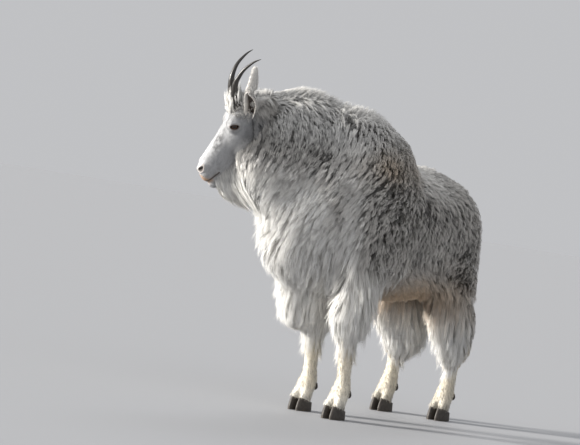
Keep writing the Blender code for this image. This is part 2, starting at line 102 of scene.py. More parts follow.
def spline(rows, n):
    r = np.asarray(rows, float)
    r = np.vstack([2 * r[0] - r[1], r, 2 * r[-1] - r[-2]])
    out = []
    for i in range(1, len(r) - 2):
        t = np.linspace(0, 1, 24, endpoint=False)[:, None]
        p0, p1, p2, p3 = r[i - 1], r[i], r[i + 1], r[i + 2]
        out.append(0.5 * ((2 * p1) + (-p0 + p2) * t + (2 * p0 - 5 * p1 + 4 * p2 - p3) * t * t + (-p0 + 3 * p1 - 3 * p2 + p3) * t ** 3))
    out.append(r[-2][None])
    q = np.vstack(out)
    s = np.concatenate([[0], np.cumsum(np.linalg.norm(np.diff(q[:, :3], axis=0), axis=1))])
    u = np.linspace(0, s[-1], n)
    return np.stack([np.interp(u, s, q[:, j]) for j in range(q.shape[1])], 1), s[-1]


class Tube:
    """A limb: rows of centre x, y, z, half width a, reach up b, reach down d, along a smooth line."""

    def __init__(self, rows, side, caps, n=40, peak=0.0):
        q, length = spline(rows, n)
        self.n, self.ds, self.caps, self.peak = n, length / (n - 1), caps, peak
        C = q[:, :3]
        T = np.gradient(C, axis=0)
        T /= np.linalg.norm(T, axis=1)[:, None]
        side = np.asarray(side, float)
        S = side[None] - T * (T @ side)[:, None]
        S /= np.linalg.norm(S, axis=1)[:, None]
        self.C, self.T, self.S, self.U = C, T, S, np.cross(S, T)
        self.tab = np.hstack([C, T, S, self.U, q[:, 3:6]]).astype(np.float32)

    def local(self, P):
        C = self.tab[:, :3]
        i = ((C * C).sum(1)[None] - 2 * (P @ C.T)).argmin(1)
        f = i + ((P - C[i]) * self.tab[i, 3:6]).sum(1) / self.ds
        fc = np.clip(f, 0, self.n - 1.0001)
        j = fc.astype(int)
        w = (fc - j)[:, None].astype(np.float32)
        q = self.tab[j] * (1 - w) + self.tab[j + 1] * w
        over = np.where(np.abs(f - fc) < 1e-3, 0, (f - fc) * self.ds)
        d = P - q[:, :3] - q[:, 3:6] * over[:, None]
        return q, over, (d * q[:, 6:9]).sum(1), (d * q[:, 9:12]).sum(1), fc / (self.n - 1)

    def __call__(self, P):
        q, over, s, u, _ = self.local(P)
        a = q[:, 12]
        b = np.where(u > 0, q[:, 13], q[:, 14])
        if self.peak:
            a = a * (1 - self.peak * np.clip(u / b, 0, 1) ** 2)
        c = np.where(over < 0, self.caps[0], self.caps[1])
        r = np.sqrt((s / a) ** 2 + (u / b) ** 2 + (over / c) ** 2)
        ln = np.sqrt(s * s + u * u + over * over)
        return np.where(r < 0.05, -np.minimum(a, b), ln * (r - 1) / np.maximum(r, 1e-4)).astype(np.float32)


class Ball:
    """An ellipsoid; axes are the columns of R."""

    def __init__(self, c, r, R=None):
        self.c, self.r = np.asarray(c, np.float32), np.asarray(r, np.float32)
        self.R = None if R is None else np.asarray(R, np.float32)

    def __call__(self, P):
        d = P - self.c
        if self.R is not None:
            d = d @ self.R
        k0 = np.sqrt(((d / self.r) ** 2).sum(1))
        k1 = np.sqrt(((d / self.r ** 2) ** 2).sum(1))
        return (k0 * (k0 - 1) / np.maximum(k1, 1e-6)).astype(np.float32)


def rows(*r):
    """left, forward, up, half width, reach up, reach down"""
    return [(l, -f, z, a, b, d) for l, f, z, a, b, d in r]


def hrows(*r):
    return [tuple(H(s, t, w)) + (a, b, d) for s, t, w, a, b, d in r]


X = (1, 0, 0)
trunk = Tube(rows(
    (0, .36, .65, .09, .13, .13), (0, .30, .655, .135, .24, .205), (0, .24, .66, .158, .30, .245), (0, .18, .66, .170, .295, .265),
    (0, .13, .66, .176, .258, .275), (0, .08, .66, .181, .202, .278), (0, .03, .66, .183, .175, .282), (0, -.05, .66, .184, .155, .288), (0, -.13, .66, .182, .148, .284),
    (0, -.20, .66, .176, .144, .270), (0, -.27, .66, .158, .122, .235), (0, -.33, .65, .130, .092, .20), (0, -.38, .64, .102, .072, .165)), X, (.05, .060), 60, .25)
neck = Tube(rows(
    (0, .12, .72, .12, .20, .19), (-.02, .19, .73, .146, .22, .225), (-.065, .28, .752, .142, .225, .236), (-.12, .37, .785, .124, .234, .215),
    (-.17, .44, .82, .104, .206, .178), (-.205, .50, .858, .078, .136, .118)), (-1, 0, 0), (.05, .045), 50, .15)
chest = Ball((-.09, -.345, .55), (.125, .135, .15))
brisket = Ball((-.04, -.285, .49), (.11, .11, .10))
skull = Tube(hrows(
    (-.058, -.118, 0, .042, .034, .04), (-.036, -.100, 0, .052, .045, .06), (-.010, -.080, 0, .057, .053, .075), (.02, -.069, 0, .057, .059, .080), (.058, -.068, 0, .052, .053, .080),
    (.10, -.062, 0, .045, .048, .084), (.15, -.054, 0, .037, .046, .070), (.185, -.050, 0, .033, .047, .058), (.205, -.047, 0, .031, .045, .046)),
    -HW, (.03, .024), 44)
poll = Ball(H(-.008, -.038), (.030, .028, .034), HAX)
cheeks = [Ball(H(.082, -.098, k * .029), (.052, .050, .028), HAX) for k in (1, -1)]
brows = [Ball(H(.050, -.037, k * .041), (.026, .016, .015), HAX) for k in (1, -1)]
nose = Ball(H(.2135, -.0355), (.0385, .034, .030), HAX)
lip = Ball(H(.2335, -.0425), (.0285, .0235, .025), HAX)
chin = Ball(H(.250, -.073), (.0235, .019, .019), HAX)
beard = Tube(hrows((.252, -.092, 0, .014, .020, .022), (.242, -.122, 0, .024, .050, .044), (.228, -.150, 0, .032, .070, .056),
                   (.212, -.180, 0, .038, .080, .062), (.19, -.205, 0, .045, .08, .060)), HW, (.014, .025), 30)


def front_leg(x, f, l):
    hair = Tube(rows((x * .075, .12, .80, .06, .10, .10), (x * .090, .20, .70, .076, .13, .12), (x * .096, .225, .60, .076, .12, .12),
                     (x * (l + .008), f - .03, .50, .066, .098, .10), (x * (l + .004), f - .005, .40, .062, .086, .084),
                     (x * l, f, .32, .060, .078, .080), (x * l, f, .275, .044, .052, .056)), (-1, 0, 0), (.08, .03))
    bone = Tube(rows((x * l, f, .33, .030, .034, .034), (x * l, f + .004, .265, .029, .033, .030), (x * l, f, .22, .022, .025, .025),
                     (x * l, f - .004, .14, .020, .021, .023), (x * l, f - .004, .10, .024, .025, .030), (x * l, f + .010, .072, .022, .022, .026)),
                (-1, 0, 0), (.02, .018))
    return hair, bone, toes(x * l, f)


def hind_leg(x, f, l):
    hair = Tube(rows((x * .06, -.22, .685, .076, .09, .10), (x * .080, -.25, .605, .086, .13, .130), (x * .093, -.255, .52, .080, .125, .132),
                     (x * (l + .004), -.27, .43, .070, .105, .113), (x * (l + .003), f + .02, .35, .056, .085, .085),
                     (x * l, f - .025, .28, .046, .06, .065), (x * l, f - .035, .24, .034, .04, .05)), (-1, 0, 0), (.05, .03))
    bone = Tube(rows((x * l, f - .005, .36, .030, .036, .04), (x * l, f - .035, .285, .026, .030, .036), (x * l, f - .035, .24, .022, .024, .028),
                     (x * l, f - .022, .15, .020, .021, .024), (x * l, f - .012, .10, .024, .025, .030), (x * l, f + .0, .072, .022, .022, .026)),
                (-1, 0, 0), (.02, .018))
    return hair, bone, toes(x * l, f - .010)


def toes(x, f):
    return [Tube(rows((x + k * .006, f - .002, .092, .018, .018, .020), (x + k * .013, f + .012, .062, .0165, .019, .021),
                      (x + k * .0175, f + .026, .036, .0150, .023, .025)), X, (.01, .010), 16) for k in (1, -1)]


FEET = {"fl": (1, .262, .092), "fr": (-1, .190, .085), "hl": (1, -.335, .095), "hr": (-1, -.290, .098)}
legs = {k: (front_leg if k[0] == "f" else hind_leg)(*v) for k, v in FEET.items()}
fluff = [Tube(rows((-.10, .20, .50, .07, .09, .07), (-.108, .225, .43, .076, .105, .08), (-.108, .228, .36, .078, .112, .09), (-.10, .215, .305, .070, .10, .085)), (-1, 0, 0), (.04, .030)),
         Tube(rows((-.085, -.27, .46, .070, .10, .11), (-.082, -.295, .38, .072, .098, .135), (-.082, -.32, .30, .070, .090, .125), (-.084, -.335, .235, .058, .070, .090)), (-1, 0, 0), (.04, .05)),
         Tube(rows((.10, -.27, .46, .06, .10, .09), (.100, -.30, .38, .060, .11, .085), (.098, -.335, .30, .055, .095, .075), (.096, -.355, .235, .045, .07, .055)), (-1, 0, 0), (.04, .05))]
tail = Tube(rows((0, -.35, .70, .05, .05, .05), (0, -.400, .684, .039, .032, .032), (0, -.432, .650, .032, .023, .025), (0, -.445, .612, .025, .018, .021), (0, -.447, .590, .013, .011, .012)), X, (.04, .02), 24)



# ---------------------------------------------------------------- fields, with far limbs left out
def reach_of(part):
    if isinstance(part, Tube):
        r = part.tab[:, 12:15].max() + max(part.caps)
        return part.C.min(0) - r, part.C.max(0) + r
    r = part.r.max()
    return part.c - r, part.c + r


def add(d, P, part, k, off=0.0, margin=.085):
    """d blended with one more part, where that part is near."""
    lo, hi = reach_of(part)
    m = np.flatnonzero(((P > lo - margin) & (P < hi + margin)).all(1))
    if len(m):
        d[m] = smin(d[m], part(P[m]) + off, k)
    return d


def head_of(P):
    """(s, t, w) of each place, in the head's own frame."""
    d = P - HO.astype(np.float32)
    return d @ HS.astype(np.float32), d @ HT.astype(np.float32), d @ HW.astype(np.float32)


def coat_field(P):
    d = np.full(len(P), 1.0, np.float32)
    add(d, P, trunk, .08)
    add(d, P, neck, .08)
    add(d, P, chest, .08)
    add(d, P, brisket, .06)
    h = np.full(len(P), 1.0, np.float32)
    add(h, P, skull, .03)
    add(h, P, poll, .03)
    for b in cheeks:
        add(h, P, b, .025)
    for b in brows:
        add(h, P, b, .02)
    add(h, P, nose, .012)
    add(h, P, lip, .010)
    add(h, P, chin, .014)
    add(h, P, beard, .025)
    d = smin(d, h, .045)
    for hair, bone, dig in legs.values():
        add(d, P, hair, .05)
        e = np.full(len(P), 1.0, np.float32)
        add(e, P, dig[0], .006)
        add(e, P, dig[1], .006)
        add(e, P, bone, .014)
        d = smin(d, e, .008)
    for b in fluff:
        add(d, P, b, .03)
    add(d, P, tail, .03)
    return d


def thinner(tube, a, b, d, peak=None):
    """The same limb with its half width, reach up and reach down made smaller."""
    new = object.__new__(Tube)
    new.__dict__.update(tube.__dict__)
    new.tab = tube.tab.copy()
    u = np.linspace(0, 1, tube.n)
    for col, less in ((12, a), (13, b), (14, d)):
        less = np.interp(u, np.linspace(0, 1, len(less)), less) if isinstance(less, (list, tuple)) else less
        new.tab[:, col] = np.maximum(new.tab[:, col] - less, .012)
    new.caps = (max(tube.caps[0] - .008, .012), max(tube.caps[1] - .012, .012))
    if peak is not None:
        new.peak = peak
    return new


# trunk rows run from the chest to the rump; neck rows run from the withers to the head
trunk_s = thinner(trunk, .022, [.045, .05, .045, .035, .025, .022, .022, .022], [.04, .035, .03, .03, .03, .03, .025, .025])
neck_s = thinner(neck, .022, [.045, .045, .042, .035, .025, .014], [.03, .035, .042, .045, .04, .018])
chest_s = Ball(chest.c, chest.r - .045)
brisket_s = Ball(brisket.c, brisket.r - .05)
tail_s = thinner(tail, .016, .014, .012)
leg_s = {k: thinner(v[0], [.03, .03, .03, .03, .03, .032, .022], [.035, .035, .035, .034, .033, .034, .024], [.035, .035, .035, .036, .036, .034, .026]) for k, v in legs.items()}
FACE = .0032
mandible = Tube(hrows((.246, -.078, 0, .013, .012, .014), (.20, -.086, 0, .019, .018, .018), (.15, -.100, 0, .025, .02, .024), (.10, -.115, 0, .030, .03, .028)), HW, (.012, .02), 20)
fluff_s = [thinner(b, .030, .032, .032) for b in fluff]
EYE_AT = (.060, -.0425)
EYE_LONG = np.array([-.45, -.893])
EYE_SHORT = np.array([.893, -.45])
MOUTH = (.2145, -.0705, .50)


def eye_coords(s, t, w, side):
    a = (s - EYE_AT[0]) * EYE_LONG[0] + (t - EYE_AT[1]) * EYE_LONG[1]
    b = (s - EYE_AT[0]) * EYE_SHORT[0] + (t - EYE_AT[1]) * EYE_SHORT[1]
    return a, b, w * side


def opening(s, t, w, side):
    """Distance to the almond between the lids."""
    a, b, w1 = eye_coords(s, t, w, side)
    b = b + a * a * 9.0 * .5 - .0006
    q = np.sqrt((a / .0128) ** 2 + (b / .0070) ** 2 + 1e-9)
    r = (q - 1) * np.sqrt(a * a + b * b + 1e-9) / q
    return np.maximum(r, .047 - w1)


def nostril(s, t, w, side):
    a = (s - .2330) * .862 + (t + .0134) * .507
    b = -(s - .2330) * .507 + (t + .0134) * .862
    c = w * side - .0195
    c2 = c * .86 + a * .50
    a2 = a * .86 - c * .50
    return (np.sqrt((a2 / .0146) ** 2 + ((b - a2 * a2 * 18 + a2 * .12) / .0071) ** 2 + (c2 / .0145) ** 2 + 1e-9) - 1) * .0071


def mouth_line(s, t):
    return t - (MOUTH[1] + MOUTH[2] * (s - MOUTH[0]) + 3.2 * (s - MOUTH[0]) * (s - .262))


def head_field(P):
    """The skin of the head: skull, cheeks, brows, lids round the eyes, nostrils and the slit of the mouth."""
    h = np.full(len(P), 1.0, np.float32)
    add(h, P, skull, .03)
    add(h, P, poll, .03)
    for b in cheeks:
        add(h, P, b, .025)
    for b in brows:
        add(h, P, b, .02)
    add(h, P, nose, .012)
    add(h, P, lip, .010)
    add(h, P, chin, .014)
    add(h, P, mandible, .020)
    h = h + FACE
    m = np.flatnonzero(h < .05)
    if len(m) == 0:
        return h
    s, t, w = head_of(P[m])
    x = h[m]
    # the back of the head carries more coat
    x = x + .016 * np.clip((.035 - s) / .05, 0, 1) + .012 * np.clip((-.105 - t) / .03, 0, 1) * np.clip((.21 - s) / .05, 0, 1)
    for side in (1, -1):
        a, b, w1 = eye_coords(s, t, w, side)
        ball = np.sqrt(a * a + b * b + (w1 - .0415) ** 2) - .0186
        x = smin(x, ball, .014)
        # a fold above the eye, and the hollow in front of it
        fold = np.sqrt((np.clip(np.abs(a) - .010, 0, None)) ** 2 + (b + .0135 - a * a * 16) ** 2 + (w1 - .0555) ** 2) - .0042
        x = smin(x, fold, .008)
        hollow = np.sqrt((a + .027) ** 2 + (b - .001) ** 2 * 2.2 + (w1 - .064) ** 2) - .0085
        x = smax(x, -hollow, .010)
        x = smax(x, -opening(s, t, w, side), .0022)
        x = smax(x, -nostril(s, t, w, side), .0022)
        rim = np.abs(nostril(s, t, w, side) - .0022) - .0012
        x = np.where((rim < .004) & (x > -.004), smin(x, np.maximum(rim, x - .0016), .003), x)
        # the wing of the nose is set off by a shallow groove
        wing = np.sqrt((s - .216) ** 2 + (t + .030) ** 2 * .6 + (w * side - .036) ** 2) - .0085
        x = smax(x, -wing, .008)
    slit = np.maximum(np.maximum(np.abs(mouth_line(s, t)) - .0013, MOUTH[0] - s), -(x + .0075))
    x = smax(x, -slit, .0022)
    lipin = np.maximum(np.maximum(np.abs(mouth_line(s, t)) - .0042, MOUTH[0] + .002 - s), np.abs(x) - .0012)
    x = np.where(lipin < .004, smin(x, lipin + .0006, .004), x)
    # the cleft under the nose
    cleft = np.sqrt(np.clip(s - .262, 0, None) ** 2 + (w * 1.0) ** 2 + np.clip(-(t + .018), 0, .0) ** 2) - .0012
    x = np.where((t < -.018) & (t > -.046) & (s > .235), smax(x, -cleft, .003), x)
    h[m] = x
    return h


def coronet_cut(P):
    """Below the slanted top of the hooves, where the skin ends. Above zero is left out."""
    worst = np.full(len(P), -1.0, np.float32)
    for k, (x, f) in FOOT.items():
        m = np.flatnonzero((np.abs(P[:, 0] - x) < .06) & (P[:, 2] < .075) & (np.abs(-P[:, 1] - (f + .02)) < .085))
        q = P[m]
        u = -q[:, 1] - f
        top = .028 + .016 * u / .06 - .0045
        worst[m] = np.maximum(worst[m], (top - q[:, 2]) * .966)
    return worst


FOOT = {k: (v[0] * v[2], (v[1] - .002 if k[0] == "f" else v[1] - .012)) for k, v in FEET.items()}


def skin_field(P):
    d = np.full(len(P), 1.0, np.float32)
    add(d, P, trunk_s, .08)
    add(d, P, neck_s, .08)
    add(d, P, chest_s, .08)
    add(d, P, brisket_s, .06)
    d = smin(d, head_field(P), .03)
    for k, (hair, bone, dig) in legs.items():
        add(d, P, leg_s[k], .05)
        e = np.full(len(P), 1.0, np.float32)
        add(e, P, dig[0], .006, .0012)
        add(e, P, dig[1], .006, .0012)
        add(e, P, bone, .014, .0012)
        d = smin(d, e, .012)
    for b in fluff_s:
        add(d, P, b, .03)
    add(d, P, tail_s, .02)
    return smax(d, coronet_cut(P), .001)


class Grid:
    """A field sampled on a regular grid, read with its slope by straight interpolation."""

    def __init__(self, fun, lo, hi, step, band):
        self.lo, self.step = np.asarray(lo, np.float32), step
        n = (np.ceil((np.asarray(hi) - lo) / step).astype(int) // 4 + 1) * 4 + 1
        self.n = n
        ax = [self.lo[i] + step * np.arange(n[i], dtype=np.float32) for i in range(3)]
        G = np.meshgrid(*[a[::4] for a in ax], indexing="ij")
        Pc = np.stack([g.ravel() for g in G], 1)
        Vc = np.concatenate([fun(Pc[i:i + 200000]) for i in range(0, len(Pc), 200000)]).reshape(G[0].shape)
        V = np.minimum(Vc, .3)
        for axis in range(3):
            m = V.shape[axis]
            i = np.arange((m - 1) * 4 + 1)
            j = np.minimum(i // 4, m - 2)
            f = (i - j * 4) / 4.0
            f = f.reshape([-1 if q == axis else 1 for q in range(3)]).astype(np.float32)
            V = np.take(V, j, axis) * (1 - f) + np.take(V, j + 1, axis) * f
        idx = np.flatnonzero(np.abs(V.ravel()) < band)
        flat = V.ravel()
        for i in range(0, len(idx), 200000):
            k = idx[i:i + 200000]
            a, b, c = np.unravel_index(k, V.shape)
            flat[k] = fun(np.stack([ax[0][a], ax[1][b], ax[2][c]], 1))
        V = flat.reshape(V.shape).astype(np.float32)
        g = np.stack(np.gradient(V, step), -1)
        self.T = np.concatenate([V[..., None], g], -1).astype(np.float32).reshape(-1, 4)

    def __call__(self, P):
        q = np.clip((P - self.lo) / self.step, 0, self.n - 1.001)
        i = q.astype(np.int64)
        f = (q - i).astype(np.float32)
        sx, sy = self.n[1] * self.n[2], self.n[2]
        b = i[:, 0] * sx + i[:, 1] * sy + i[:, 2]
        out = 0
        for dx in (0, 1):
            for dy in (0, 1):
                for dz in (0, 1):
                    w = (f[:, 0] if dx else 1 - f[:, 0]) * (f[:, 1] if dy else 1 - f[:, 1]) * (f[:, 2] if dz else 1 - f[:, 2])
                    out = out + self.T[b + dx * sx + dy * sy + dz] * w[:, None]
        g = out[:, 1:]
        return out[:, 0], g / np.maximum(np.linalg.norm(g, axis=1), 1e-6)[:, None]

def surface(fun, xs, ys, zs, band, chunk=300000):
    """One vertex for each grid cell that the surface crosses, one quad for each grid edge that it crosses."""
    nx, ny, nz = len(xs), len(ys), len(zs)
    G = np.meshgrid(*(np.asarray(a, np.float32) for a in (xs, ys, zs)), indexing="ij")
    P = np.stack([g.ravel() for g in G], 1)
    step = 4
    I = [np.unique(np.r_[np.arange(0, n, step), n - 1]) for n in (nx, ny, nz)]
    pick = np.ix_(*I)
    Pc = np.stack([g[pick].ravel() for g in G], 1)
    Vc = np.concatenate([fun(Pc[i:i + chunk]) for i in range(0, len(Pc), chunk)]).reshape([len(i) for i in I])
    lo = Vc[:-1, :-1, :-1].copy()
    hi, near0 = lo.copy(), np.abs(lo)
    for dx in (0, 1):
        for dy in (0, 1):
            for dz in (0, 1):
                c = Vc[dx:dx + lo.shape[0], dy:dy + lo.shape[1], dz:dz + lo.shape[2]]
                lo, hi, near0 = np.minimum(lo, c), np.maximum(hi, c), np.minimum(near0, np.abs(c))
    near = (lo * hi <= 0) | (near0 < band)
    cell = np.ix_(*[np.minimum(np.searchsorted(i, np.arange(n), side="right") - 1, len(i) - 2) for i, n in zip(I, (nx, ny, nz))])
    V = np.where(lo < 0, -1.0, 1.0).astype(np.float32)[cell].copy()
    nf = near[cell]
    m = nf.copy()
    m[1:] |= nf[:-1]
    m[:, 1:] |= nf[:, :-1]
    m[:, :, 1:] |= nf[:, :, :-1]
    idx = np.flatnonzero(m.ravel())
    flat = V.ravel()
    for i in range(0, len(idx), chunk):
        k = idx[i:i + chunk]
        flat[k] = fun(P[k])
    V = flat.reshape(nx, ny, nz)
    ins = V < 0
    c = np.zeros((nx - 1, ny - 1, nz - 1), np.int8)
    corners = [(a, b, d) for a in (0, 1) for b in (0, 1) for d in (0, 1)]
    for a, b, d in corners:
        c += ins[a:a + nx - 1, b:b + ny - 1, d:d + nz - 1]
    act = (c > 0) & (c < 8)
    ids = np.full(act.shape, -1, np.int64)
    ai = np.argwhere(act)
    ids[act] = np.arange(len(ai))
    co = [np.asarray(a, float) for a in (xs, ys, zs)]
    val = {k: V[ai[:, 0] + k[0], ai[:, 1] + k[1], ai[:, 2] + k[2]] for k in corners}
    pos = {k: np.stack([co[j][ai[:, j] + k[j]] for j in range(3)], 1) for k in corners}
    acc, cnt = np.zeros((len(ai), 3)), np.zeros(len(ai))
    for k in corners:
        for j in range(3):
            if k[j]:
                continue
            n = tuple(1 if i == j else k[i] for i in range(3))
            cross = (val[k] < 0) != (val[n] < 0)
            t = np.clip(np.where(cross, val[k] / np.where(cross, val[k] - val[n], 1), 0), 0, 1)[:, None]
            acc += np.where(cross[:, None], pos[k] + (pos[n] - pos[k]) * t, 0)
            cnt += cross
    quads = []
    for j in range(3):
        a = [slice(1, -1)] * 3
        b = list(a)
        a[j], b[j] = slice(None, -1), slice(1, None)
        where = np.argwhere(ins[tuple(a)] != ins[tuple(b)])
        off = np.ones(3, int)
        off[j] = 0
        where = where + off
        u, v = [(1, 2), (2, 0), (0, 1)][j]
        def at(du, dv):
            w = where.copy()
            w[:, u] += du
            w[:, v] += dv
            return ids[w[:, 0], w[:, 1], w[:, 2]]
        q = np.stack([at(-1, -1), at(0, -1), at(0, 0), at(-1, 0)], 1)
        out = ~ins[where[:, 0], where[:, 1], where[:, 2]]
        q[out] = q[out][:, ::-1]
        quads.append(q)
    return acc / cnt[:, None], np.concatenate(quads)


def settle(fun, P, times=3):
    """Moves each point onto the surface."""
    h = 0.001
    for _ in range(times):
        g = np.stack([fun((P + e).astype(np.float32)) - fun((P - e).astype(np.float32)) for e in np.eye(3) * h], 1) / (2 * h)
        P = P - np.clip(fun(P.astype(np.float32)) / np.maximum((g * g).sum(1), 0.2), -0.003, 0.003)[:, None] * g
    return P



# ---------------------------------------------------------------- small tools
def sstep(x, a, b):
    t = np.clip((x - a) / (b - a), 0, 1)
    return t * t * (3 - 2 * t)


def noise(P, scale, seed=0):
    """Smooth noise from 0 to 1, with blobs about scale across."""
    q = np.asarray(P, np.float64) / scale + 100.0
    i = np.floor(q).astype(np.int64)
    f = q - i
    f = f * f * (3 - 2 * f)
    out = 0.0
    for dx in (0, 1):
        for dy in (0, 1):
            for dz in (0, 1):
                h = ((i[:, 0] + dx) * 73856093) ^ ((i[:, 1] + dy) * 19349663) ^ ((i[:, 2] + dz) * 83492791) ^ (seed * 2654435761)
                h = (h ^ (h >> 13)) * 1274126177 & 0x7FFFFFFF
                v = ((h >> 8) & 0xFFFF) / 65535.0
                w = (f[:, 0] if dx else 1 - f[:, 0]) * (f[:, 1] if dy else 1 - f[:, 1]) * (f[:, 2] if dz else 1 - f[:, 2])
                out = out + v * w
    return out


def norm(v):
    return v / np.maximum(np.linalg.norm(v, axis=-1, keepdims=True), 1e-9)


def make_mesh(name, V, loops, starts, colour=None, uv=None, normals=None, smooth=True):
    me = bpy.data.meshes.new(name)
    me.vertices.add(len(V))
    me.vertices.foreach_set("co", np.ascontiguousarray(V + SHIFT, np.float32).ravel())
    me.loops.add(len(loops))
    me.loops.foreach_set("vertex_index", np.ascontiguousarray(loops, np.int32))
    me.polygons.add(len(starts))
    me.polygons.foreach_set("loop_start", np.ascontiguousarray(starts, np.int32))
    me.update(calc_edges=True)
    me.validate()
    me.polygons.foreach_set("use_smooth", np.full(len(me.polygons), smooth))
    if uv is not None:
        layer = me.uv_layers.new(name="OFBake", do_init=False)
        layer.uv.foreach_set("vector", np.ascontiguousarray(uv[loops], np.float32).ravel())
    if colour is not None:
        c = np.ones((len(V), 4), np.float32)
        c[:, :3] = colour
        a = me.color_attributes.new("Tint", "FLOAT_COLOR", "POINT")
        a.data.foreach_set("color", c.ravel())
    if normals is not None:
        me.normals_split_custom_set_from_vertices(normals.astype(np.float32))
    ob = bpy.data.objects.new(name, me)
    bpy.context.scene.collection.objects.link(ob)
    return ob


def make_quads(name, V, Q, **more):
    Q = np.asarray(Q)
    return make_mesh(name, np.asarray(V, float), Q.ravel(), np.arange(len(Q)) * 4, **more)


def material(name, rough, tint=True, colour=(.8, .8, .8), sheen=0.0, coat=0.0, bump=(), spec=.5):
    m = bpy.data.materials.new(name)
    m.use_nodes = True
    nt = m.node_tree
    b = nt.nodes["Principled BSDF"]
    b.inputs["Roughness"].default_value = rough
    b.inputs["Specular IOR Level"].default_value = spec
    b.inputs["Sheen Weight"].default_value = sheen
    b.inputs["Sheen Roughness"].default_value = .5
    b.inputs["Coat Weight"].default_value = coat
    b.inputs["Coat Roughness"].default_value = .03
    if tint:
        a = nt.nodes.new("ShaderNodeVertexColor")
        a.layer_name = "Tint"
        nt.links.new(a.outputs["Color"], b.inputs["Base Color"])
    else:
        b.inputs["Base Color"].default_value = (*colour, 1)
    last = None
    for scale, stretch, dist in bump:
        tex = nt.nodes.new("ShaderNodeTexNoise")
        tex.inputs["Scale"].default_value = scale
        tex.inputs["Detail"].default_value = 2.0
        co = nt.nodes.new("ShaderNodeTexCoord")
        mp = nt.nodes.new("ShaderNodeMapping")
        mp.inputs["Scale"].default_value = stretch
        nt.links.new(co.outputs["Object"], mp.inputs["Vector"])
        nt.links.new(mp.outputs["Vector"], tex.inputs["Vector"])
        bn = nt.nodes.new("ShaderNodeBump")
        bn.inputs["Strength"].default_value = .8
        bn.inputs["Distance"].default_value = dist
        nt.links.new(tex.outputs["Fac"], bn.inputs["Height"])
        if last is not None:
            nt.links.new(last.outputs["Normal"], bn.inputs["Normal"])
        last = bn
    if last is not None:
        nt.links.new(last.outputs["Normal"], b.inputs["Normal"])
    return m


# ---------------------------------------------------------------- where each place of the body belongs
PARTS = ["trunk", "neck", "chest", "head", "leg_fl", "leg_fr", "leg_hl", "leg_hr", "shank_fl", "shank_fr", "shank_hl", "shank_hr", "tail"]


def part_of(P):
    """The limb that each place of the skin lies nearest to, as a number in PARTS."""
    P = P.astype(np.float32)
    def far(fun):
        d = np.full(len(P), 1.0, np.float32)
        lo, hi = reach_of(fun)
        m = np.flatnonzero(((P > lo - .06) & (P < hi + .06)).all(1))
        if len(m):
            d[m] = fun(P[m])
        return d
    dist = [far(trunk_s), far(neck_s), np.minimum(far(chest_s), far(brisket_s)) + .004, head_field(P) - .002]
    for k in ("fl", "fr", "hl", "hr"):
        d = far(leg_s[k]) + .004
        for j in {"fr": (0,), "hr": (1,), "hl": (2,)}.get(k, ()):
            d = np.minimum(d, far(fluff_s[j]))
        dist.append(d)
    for k in ("fl", "fr", "hl", "hr"):
        hair, bone, dig = legs[k]
        dist.append(np.minimum(far(bone), np.minimum(far(dig[0]), far(dig[1]))))
    dist.append(far(tail_s))
    return np.argmin(np.stack(dist, 1), 1)


def part_uv(P, part):
    """An unwrap of each limb's own shape: round it and along it, both from 0 to 1."""
    uv = np.zeros((len(P), 2))
    P = P.astype(np.float32)
    tubes = {"trunk": trunk_s, "neck": neck_s, "chest": neck_s, "tail": tail_s, "head": skull}
    for k in ("fl", "fr", "hl", "hr"):
        tubes["leg_" + k] = leg_s[k]
        tubes["shank_" + k] = legs[k][1]
    for i, name in enumerate(PARTS):
        m = np.flatnonzero(part == i)
        if not len(m):
            continue
        if name == "chest":
            # round an upright axis through the chest
            d = P[m] - np.array([-.06, -.30, .5], np.float32)
            uv[m, 0] = np.arctan2(d[:, 0], -d[:, 1]) / (2 * np.pi) + .5
            uv[m, 1] = (P[m, 2] - .35) / .40
            continue
        q, over, s, u, f = tubes[name].local(P[m])
        uv[m, 0] = np.arctan2(s, u) / (2 * np.pi) + .5
        tube = tubes[name]
        uv[m, 1] = (f * (tube.n - 1) * tube.ds + over + .06) / ((tube.n - 1) * tube.ds + .12)
    return uv


# ---------------------------------------------------------------- colours
def blob(P, c, r):
    return np.exp(-(((P - np.asarray(c)) / np.asarray(r)) ** 2).sum(1))


